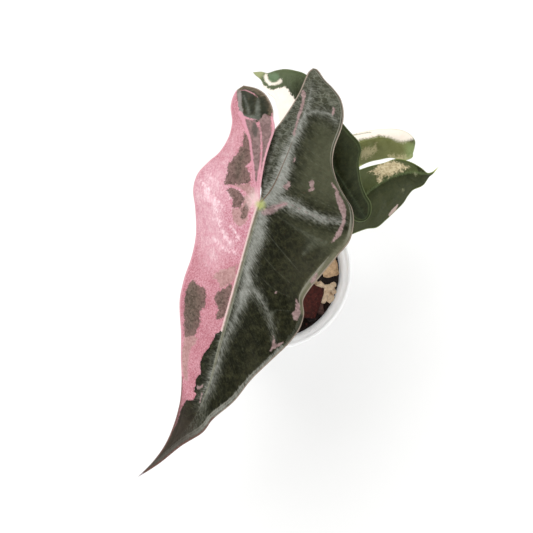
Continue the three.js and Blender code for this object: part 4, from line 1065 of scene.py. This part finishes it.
front_skin = leaf_skin("waxy leaf, half pink and half dark green", front_green, [
    # Painted light: the green lobe made lighter away from the silver
    Coat("lobe_painted_light", "#3E4029", "#6B6D58", comb=6.0, soft=6.0, cover=0.55),
    # The first of these is painted light, a lighter grey over the lobe's far end; the second is the real net
    # of pale hairs
    Coat("frost_and_painted_light", "#3A3C31", "#525447", comb=3.0, soft=9.0, cover=0.45, pattern="frost"),
    Coat("frost_and_painted_light", "#85877A", "#9C9E92", soft=7.0, cover=0.42, netted=True),
    Coat("vein", "#56594B", "#777A6D", soft=0.3, cover=0.28, pattern="frost"),
    Coat("silver", "#4A4B40", "#76776D", comb=6.0, soft=3.0, cover=0.75, pattern="frost"),
    Coat("silver_core", "#797A71", "#A2A39D", comb=3.5, soft=1.8, cover=0.8, pattern="frost"),
    Coat("grey_cap", "#7D7672", "#8F8883", jag=1.0, soft=0.4, cover=0.9),
    Coat("collar", "#2F3127", "#55574B", comb=3.0, soft=0.4, cover=0.6, pattern="frost"),
    Coat("collar_mid", "#5C5A4A", "#868369", comb=2.0, soft=1.5, cover=0.65),
    Coat("collar_low", "#64655C", "#92938B", comb=2.5, soft=0.8, cover=0.85, pattern="frost"),
    Coat("collar_line", "#8A887A", "#A5A193", soft=0.2, cover=0.6),
    Coat("pink", "#B3717F", "#D6ABB4", jag=1.6, pattern="fleck"),
    Coat("deep_pink", "#A76670", "#CA949D", jag=4.0, soft=14.0, cover=0.8, pattern="fleck"),
    Coat("pale_zone", "#D3A0AB", "#F6E6E8", jag=5.0, soft=6.0, cover=0.52, pattern="wisp"),
    Coat("pale_wisp", "#DDB2BB", "#F8EBED", jag=3.5, soft=1.1, cover=0.8, pattern="wisp"),
    Coat("pink_vein", "#C78795", "#D59CA8", soft=0.3, cover=0.35),
    Coat("veil", "#97746F", "#B6938F", jag=1.8, soft=0.3, cover=0.85, pattern="blotch"),
    Coat("cap_rim", "#43392C", "#786A57", comb=2.0, soft=1.0, cover=0.75, pattern="frost"),
    Coat("cap_cell", "#14180F", "#303427", jag=1.4, soft=0.5, cover=0.75),
    Coat("cap_vein", "#565A50", "#777B72", jag=0.8, soft=0.9, cover=0.7, pattern="frost"),
    Coat("cap_arc", "#B98189", "#CF9AA1", soft=0.25, cover=0.85),
    Coat("stripe", "#5F514D", "#86726E", jag=1.2, soft=0.4, cover=0.9, pattern="blotch"),
    Coat("stripe_spot", "#353730", "#4A4B43", jag=1.0, soft=0.6, cover=0.7),
    Coat("maroon", "#4E3F37", "#7F6660", jag=1.8, soft=0.25, cover=0.95, pattern="blotch"),
    Coat("maroon_core", "#3F3A2E", "#655A4E", jag=3.0, soft=2.5, cover=0.7, pattern="blotch"),
    Coat("blush", "#836B69", "#A58C8A", jag=0.8, soft=0.3, cover=0.85, pattern="blotch"),
    Coat("pink_line", "#BF7F8F", "#D9A4AF", jag=0.5, soft=0.25, cover=0.8),
    Coat("streak", "#8D7373", "#AF9796", jag=1.2, soft=0.9, cover=0.8, pattern="blotch"),
    Coat("rose_line", "#93525F", "#A8707A", soft=0.3, cover=0.7),
    Coat("brown_line", "#54402F", "#6C5443", soft=0.2, cover=0.85),
    Coat("side_line", "#73585A", "#8F7675", soft=0.25, cover=0.75),
    Coat("midrib", "#6C6D5C", "#8F9082", soft=0.4, cover=0.9, pattern="frost"),
    Coat("midrib_core", "#55472F", "#6B5C44", soft=0.2, cover=0.5),
    Coat("joint_glow", "#E2C3C2", "#F1DEDA", jag=1.5, soft=3.0, cover=0.65),
    Coat("pink_edge", "#D2B2AE", "#E6CDC8", jag=0.3, soft=0.25, cover=0.9),
    Coat("rim", "#86786C", "#B8A89A", soft=0.25, cover=0.75),
    Coat("pink_rim", "#C98C9A", "#DDA9B3", jag=0.5, soft=0.3, cover=0.7),
    Coat("tip_dark", "#29231D", "#453C35", jag=1.0, soft=10.0, cover=0.75),
    Coat("tip_edge", "#54382F", "#7A5850", jag=0.6, soft=0.5, cover=0.75),
    Coat("tip_end", "#83787E", "#A2979C", jag=1.0, soft=1.0, cover=0.8),
    Coat("joint_spot", "#9FA65A", "#BFC480", jag=1.5, soft=1.5, cover=0.85),
], 0.8)
hang(FRONT, front_mesh, front_skin)

# Back leaf: an older, smaller blade that points up and away behind the front one,
# dark green with a cream half, and a cream loop where the two meet near its tip.
BACK = {
    "name": "back", "heading": 124,
    "rows": (110, 44), "columns": 36, "inner_columns": 10,
    "side_veins": 11, "lobe_veins": 7, "collar": ((-30, 1.2), (70, 1.6)),
    "tip": (69.5, 0, -47),
    "midrib": [(56, -5, -31), (42, -6.5, -17), (27, -6, -7), (12, -3.5, -2)],
    "notch": (-4.5, 1.5, -1),
    "left": {
        "arch": 0.08, "inner_arch": 0.05, "shoulder": 10, "lobe": (-19, 14.5, -13), "vein": [(-10, 6, -3)],
        "outer": [
            (67, 0, -44.5), (63, -0.5, -41), (58, 1, -35.5), (53.5, 1.5, -31), (49, 1, -27),
            (44.5, 2.5, -23.5), (39, 5, -20.5), (30.5, 9, -17), (21, 12.5, -14), (11, 15.5, -12),
            (0, 18, -11), (-10.5, 18, -11),
        ],
        "inner": [(-11, 4.5, -5), (-16, 9, -10)],
    },
    "right": {
        "arch": 0.08, "inner_arch": 0.05, "shoulder": 10, "lobe": (-26, -0.5, -13.5),
        "vein": [(-8.5, 0, -1.5), (-18, -0.5, -6.5)],
        "outer": [
            (66.5, -3, -42), (63, -4.5, -36), (60.5, -7.5, -29), (57.5, -11, -23.5), (53, -14, -18),
            (48, -16.5, -14), (36.5, -17.5, -9), (17.5, -16.5, -5), (10.5, -17, -3.5), (6, -17.5, -3),
            (2.5, -16.5, -3), (-1.5, -12.5, -3.5), (-6, -10, -4.5), (-11, -8, -6), (-16.5, -7, -8),
            (-20.5, -7, -10), (-24, -5, -11.5), (-25.5, -3, -12.5),
        ],
        "inner": [(-15.5, 3.5, -8), (-22.5, 4, -12), (-25, 2, -13.5)],
    },
}
CREAM_HALF = [(62.5, 0), (59, 0.3), (56, 0.2), (53.6, -1), (52.3, -2.6), (51.5, -4.8), (50.8, -6.2),
              (48, -6.5), (45, -6), (42, -6), (38.5, -5.5), (34, -4), (29, 0), (23.5, 3), (16, 6), (6, 9),
              (0, 12), (-8, 20), (16, 24), (44.5, 14), (57.5, 8), (66, 2)]
CREAM_LOOP = [(62.8, -3.2, 0.9), (60.2, -2.2, 0.9), (57, -2.2, 0.9), (55.6, -3.8, 0.9), (54.5, -6.2, 0.9)]
GREEN_SPOT = [(62, -4.5), (60.5, -6.5), (58, -7.5), (56.5, -7), (56, -5.5), (56.5, -4), (58.5, -3),
              (60.5, -3.5)]

back_mesh = blade_mesh(BACK)
facts, flat = emboss(BACK, back_mesh)
out, margin = facts["out"], facts["margin"]
mark(back_mesh, {
    "silver": 1.0 - out,
    "cream": deepest(flat, [CREAM_HALF]),
    "loop": deepest(flat, [], [CREAM_LOOP]),
    "paler_end": flat[:, 0] - 48,
    "tip_green": flat[:, 0] - 64.0,
    "green_spot": deepest(flat, [GREEN_SPOT]),
    "inner_line": 0.4 - np.abs(margin - 1.5),
    "rim": 0.45 - margin,
})
OLD_FLECKS = 1.6
old_green = dict(dark="#1B1F0E", light="#2B301C", warm="#34361F", pale="#525C3C", under="#8A9173",
                 fade=9.0, dark_to=1.0, net=0.1)
back_skin = leaf_skin("waxy leaf, green with a cream half", old_green, [
    Coat("silver", "#56664A", "#6F7F60", comb=2.0, soft=0.8, cover=0.1, pattern="frost"),
    Coat("paler_end", "#525D3F", "#748060", jag=6.0, soft=8.0, cover=0.65),
    Coat("inner_line", "#4C5A36", "#5C6B44", soft=0.3, cover=0.3),
    Coat("rim", "#5C6B40", "#738252", soft=0.3, cover=0.5),
    Coat("cream", "#F0E2D3", "#F9F3EA", jag=1.4, soft=0.5),
    Coat("loop", "#F2E6D2", "#FBF4EA", jag=0.8, soft=0.6, cover=0.95),
    Coat("green_spot", "#5B7558", "#7F9571", jag=1.0, soft=1.0, cover=0.8),
    Coat("tip_green", "#878F62", "#A7AB80", jag=1.0, soft=1.5, cover=0.9),
], OLD_FLECKS)
hang(BACK, back_mesh, back_skin)

# Right leaf: a shorter blade low at the side, folded a little along its midrib,
# dark green with cream patches on its far half and a yellow-green drip tip.
RIGHT = {
    "name": "right", "heading": 25,
    "rows": (96, 34), "columns": 34, "inner_columns": 9,
    "side_veins": 9, "lobe_veins": 6, "collar": ((-20, 1.1), (54, 1.4)),
    "tip": (53.5, 0, -14),
    "midrib": [(49, -1.5, -14), (46, -0.8, -13), (37.5, 3.2, -8), (26.5, 4.5, -1), (16.5, 3, 2.5),
               (6.5, 1, 2)],
    "notch": (-2.5, 1.5, -1.5),
    "left": {
        "arch": 0.06, "inner_arch": 0.05, "shoulder": 10, "lobe": (-12, 13, -13), "vein": [(-6, 6, -3)],
        "outer": [
            (51.5, -0.5, -14), (49.5, -1, -14), (47, -0.5, -13.5), (45, 3, -12.5), (41.5, 7.5, -11),
            (38, 10.5, -9.5), (34, 12.5, -8.5), (28.5, 13, -8), (21, 14.5, -8), (12, 15.5, -9), (3, 16, -9),
        ],
        "inner": [(-5, 3.5, -4), (-10, 8, -9)],
    },
    "right": {
        "arch": 0.06, "inner_arch": 0.05, "shoulder": 10, "lobe": (-16, -8, -14), "vein": [(-8, -4, -3)],
        "outer": [
            (49.5, -2, -14.5), (47.5, -2.5, -17), (43, -5, -18.5), (37.5, -5, -19), (34, -6.5, -19),
            (30, -9, -19), (24.5, -11, -19), (18.5, -13, -19), (12.5, -14.5, -19), (7.5, -13, -19),
            (2, -12.5, -18), (-7, -12, -16),
        ],
        "inner": [(-6, -0.5, -5), (-13, -3, -11)],
    },
}
CREAM_PATCHES = [
    [(31, 13), (33.5, 11), (36.5, 8), (38, 6), (35.5, 5.5), (30, 6), (26.5, 5.5), (24, 6), (21.5, 5),
     (20.5, 6.5), (22.5, 8), (20, 10.5), (19, 12), (22.5, 11.5), (24.5, 12), (27.5, 13.5)],
]
CREAM_SPOTS = [[(31.5, -2.5), (32, -3.5), (31.5, -4), (31, -3.5)], [(40, 2), (41, 1.5), (41, 1), (40, 1)]]
EDGE_BLUSH = [(27, -8.5), (24.5, -9), (22, -10), (20, -11.5), (20.5, -12.5), (24, -11), (26.5, -9.5)]

right_mesh = blade_mesh(RIGHT)
facts, flat = emboss(RIGHT, right_mesh)
out, margin, half = facts["out"], facts["margin"], facts["half"]
mark(right_mesh, {
    "silver": 1.0 - out,
    "far_half": np.minimum(half - 0.3, 42 - flat[:, 0]),
    "cream": deepest(flat, CREAM_PATCHES),
    "cream_spot": deepest(flat, CREAM_SPOTS),
    "blush": deepest(flat, [EDGE_BLUSH]),
    "drip_tip": flat[:, 0] - 50.5,
    "rim": 0.35 - margin,
})
paler_green = dict(old_green, dark="#23280F", light="#343920", warm="#3D3E22")
right_skin = leaf_skin("waxy leaf, green with cream patches", paler_green, [
    Coat("silver", "#4C5A38", "#65734C", comb=2.0, soft=0.8, cover=0.5, pattern="frost"),
    Coat("far_half", "#444D2B", "#646C42", jag=1.0, comb=5.0, soft=1.0, cover=0.5),
    Coat("cream", "#A3926F", "#CDBE9B", jag=2.8, comb=4.0, soft=0.9, cover=0.9, pattern="blotch"),
    Coat("cream_spot", "#777A58", "#98967A", jag=1.5, soft=0.9, cover=0.7),
    Coat("blush", "#B9A29A", "#C9B5AC", jag=0.8, cover=0.75),
    Coat("rim", "#748340", "#97A552", soft=0.3, cover=0.6),
    Coat("drip_tip", "#9DAA3C", "#C2C56E", jag=0.5, soft=1.0),
], OLD_FLECKS)
hang(RIGHT, right_mesh, right_skin)

# Low leaf: the oldest and smallest blade, half under the back one, with its far
# half cream and its near half olive, and a blunt yellow-green end.
LOW = {
    "name": "low", "heading": 9,
    "rows": (76, 30), "columns": 30, "inner_columns": 9,
    "side_veins": 9, "lobe_veins": 6, "collar": ((-20, 1.1), (42, 1.3)),
    "tip": (40, 0, -28),
    "midrib": [(35, 3.5, -19), (28, 6.5, -11.5), (21, 7.5, -6), (13, 6.5, -2), (6.5, 4.5, 0)],
    "notch": (-3, 0, -1.5),
    "left": {
        "arch": 0.08, "inner_arch": 0.05, "shoulder": 8, "lobe": (-12, 12, -13), "vein": [(-6, 6, -4)],
        "outer": [
            (41, 2.5, -26.5), (41.5, 5.5, -24), (39.5, 8.5, -21), (35.5, 11, -17.5), (29.5, 12.5, -14.5),
            (22.5, 13, -12.5), (16, 13, -11), (7.5, 12.5, -11), (1, 13, -11),
        ],
        "inner": [(-5, 3, -4), (-10, 8, -9)],
    },
    "right": {
        "arch": 0.08, "inner_arch": 0.05, "shoulder": 7, "lobe": (-14, -8, -13), "vein": [(-7, -3, -4)],
        "outer": [
            (39.5, -2, -28.5), (37, -3, -28), (32.5, -3, -25), (27, -1.5, -21), (20.5, -2, -18),
            (15.5, -2.5, -16), (10, -4, -15), (2, -8, -14), (-6, -10, -13),
        ],
        "inner": [(-6, -1, -4), (-12, -3, -9)],
    },
}
CREAM_SIDE = [(6.5, 5.5), (11, 8.2), (14.5, 8), (18, 8.5), (21.5, 9), (24, 8.3), (27, 7.5), (30, 6), (34, 5),
              (38, 6), (48, 9), (40, 20), (20, 18), (2, 16)]
BEIGE_PATCHES = [
    [(9.5, 2.5), (15, 3), (18.5, 4.5), (18.2, 2), (16, 0), (10, -0.8)],
    [(26, -0.5), (32, -1.2), (38.5, -1.2), (39, -4), (32, -3.5), (26.5, -2.5)],
]

low_mesh = blade_mesh(LOW)
facts, flat = emboss(LOW, low_mesh)
along, out, margin, half = facts["along"], facts["out"], facts["margin"], facts["half"]
mark(low_mesh, {
    "silver": 1.0 - out,
    "near_half": np.minimum(-half + 4.0, 42 - flat[:, 0]),
    "cream": deepest(flat, [CREAM_SIDE]),
    "beige": deepest(flat, BEIGE_PATCHES),
    "blunt_end": np.minimum(flat[:, 0] - 35.5, 4.5 - flat[:, 1]),
    "far_line": np.where(
        half > 0, 0.35 - np.abs(flat[:, 1] - 11.6) - np.maximum(0, flat[:, 0] - 17), OUTSIDE),
    "glow": np.where((half < 0) & (along < 12), 0.9 - margin, OUTSIDE),
    "rim": 0.4 - margin,
})
low_skin = leaf_skin("waxy leaf, olive with a cream half", old_green, [
    Coat("silver", "#5A6A40", "#74804F", comb=2.0, soft=0.8, cover=0.5, pattern="frost"),
    Coat("near_half", "#59622C", "#8C8C5C", jag=2.0, comb=4.0, soft=2.0, cover=0.85),
    Coat("cream", "#E9DCCB", "#F6EDE2", jag=1.4, soft=1.2),
    Coat("beige", "#A89E74", "#C9BE98", jag=2.4, comb=4.0, soft=1.2, cover=0.85),
    Coat("far_line", "#5D6348", "#747858", jag=0.8, soft=0.4, cover=0.7),
    Coat("blunt_end", "#6D8150", "#93A36B", jag=1.6, soft=2.5, cover=0.7),
    Coat("glow", "#A2B24A", "#BFCB70", jag=0.6, soft=0.4),
    Coat("rim", "#8E9B60", "#A6AF78", soft=0.3, cover=0.5),
], OLD_FLECKS)
hang(LOW, low_mesh, low_skin)

# Floor, light and camera: a white studio sweep under a large soft light, seen
# from nearly straight above, as the photograph is.
FLOOR_HALF = 2000
floor_bm = bmesh.new()
bmesh.ops.create_grid(floor_bm, x_segments=1, y_segments=1, size=FLOOR_HALF)
floor = set_up("floor", mesh_of(floor_bm, "floor"))
paper, place = new_skin("white paper sweep")
finish_skin(paper, Base_Color="#F1F1F0", Roughness=0.9, Specular_IOR_Level=0.1)
floor.data.materials.append(paper)

world = bpy.data.worlds.new("bright white room")
bpy.context.scene.world = world
world.use_nodes = True
# The room is brighter round its sides than overhead
way = add(world, "TexCoord").outputs["Generated"]
upwards = add(world, "SeparateXYZ", way).outputs["Z"]
glow = add(world, "MapRange", upwards, 0.5, 1.0, 1.42, 0.42)
background = world.node_tree.nodes["Background"]
background.inputs["Color"].default_value = (1, 1, 1, 1)
world.node_tree.links.new(glow.outputs[0], background.inputs["Strength"])


def soft_light(name, at, aim, size, power):
    """A large square soft box, pointed at a place on the plant."""
    lamp = bpy.data.lights.new(name, "AREA")
    lamp.size = size
    lamp.energy = power
    box = set_up(name, lamp)
    box.location = at
    box.rotation_euler = (Vector(aim) - Vector(at)).to_track_quat("-Z", "Y").to_euler()


soft_light("window", (-0.35, 0.75, 1.5), (0, 0, 0.1), 0.8, 9)
soft_light("room_fill", (0.9, -0.6, 1.2), (0, 0, 0.1), 1.2, 1)

# The photograph's camera: nearly overhead, 0.6 m from the pot's rim
CAMERA_AT = (-3.5, -29.504, 674.277)
CAMERA_TILT = 87
FOCAL_PIXELS = 1110
PHOTO_PIXELS = 533
SENSOR_WIDTH = 36
lens = bpy.data.cameras.new("camera")
lens.sensor_width = SENSOR_WIDTH
lens.lens = FOCAL_PIXELS * SENSOR_WIDTH / PHOTO_PIXELS
camera = set_up("camera", lens)
camera.location = [value * MM for value in CAMERA_AT]
camera.rotation_euler = (math.radians(90 - CAMERA_TILT), 0, 0)
bpy.context.scene.camera = camera
bpy.context.scene.view_settings.view_transform = "Standard"
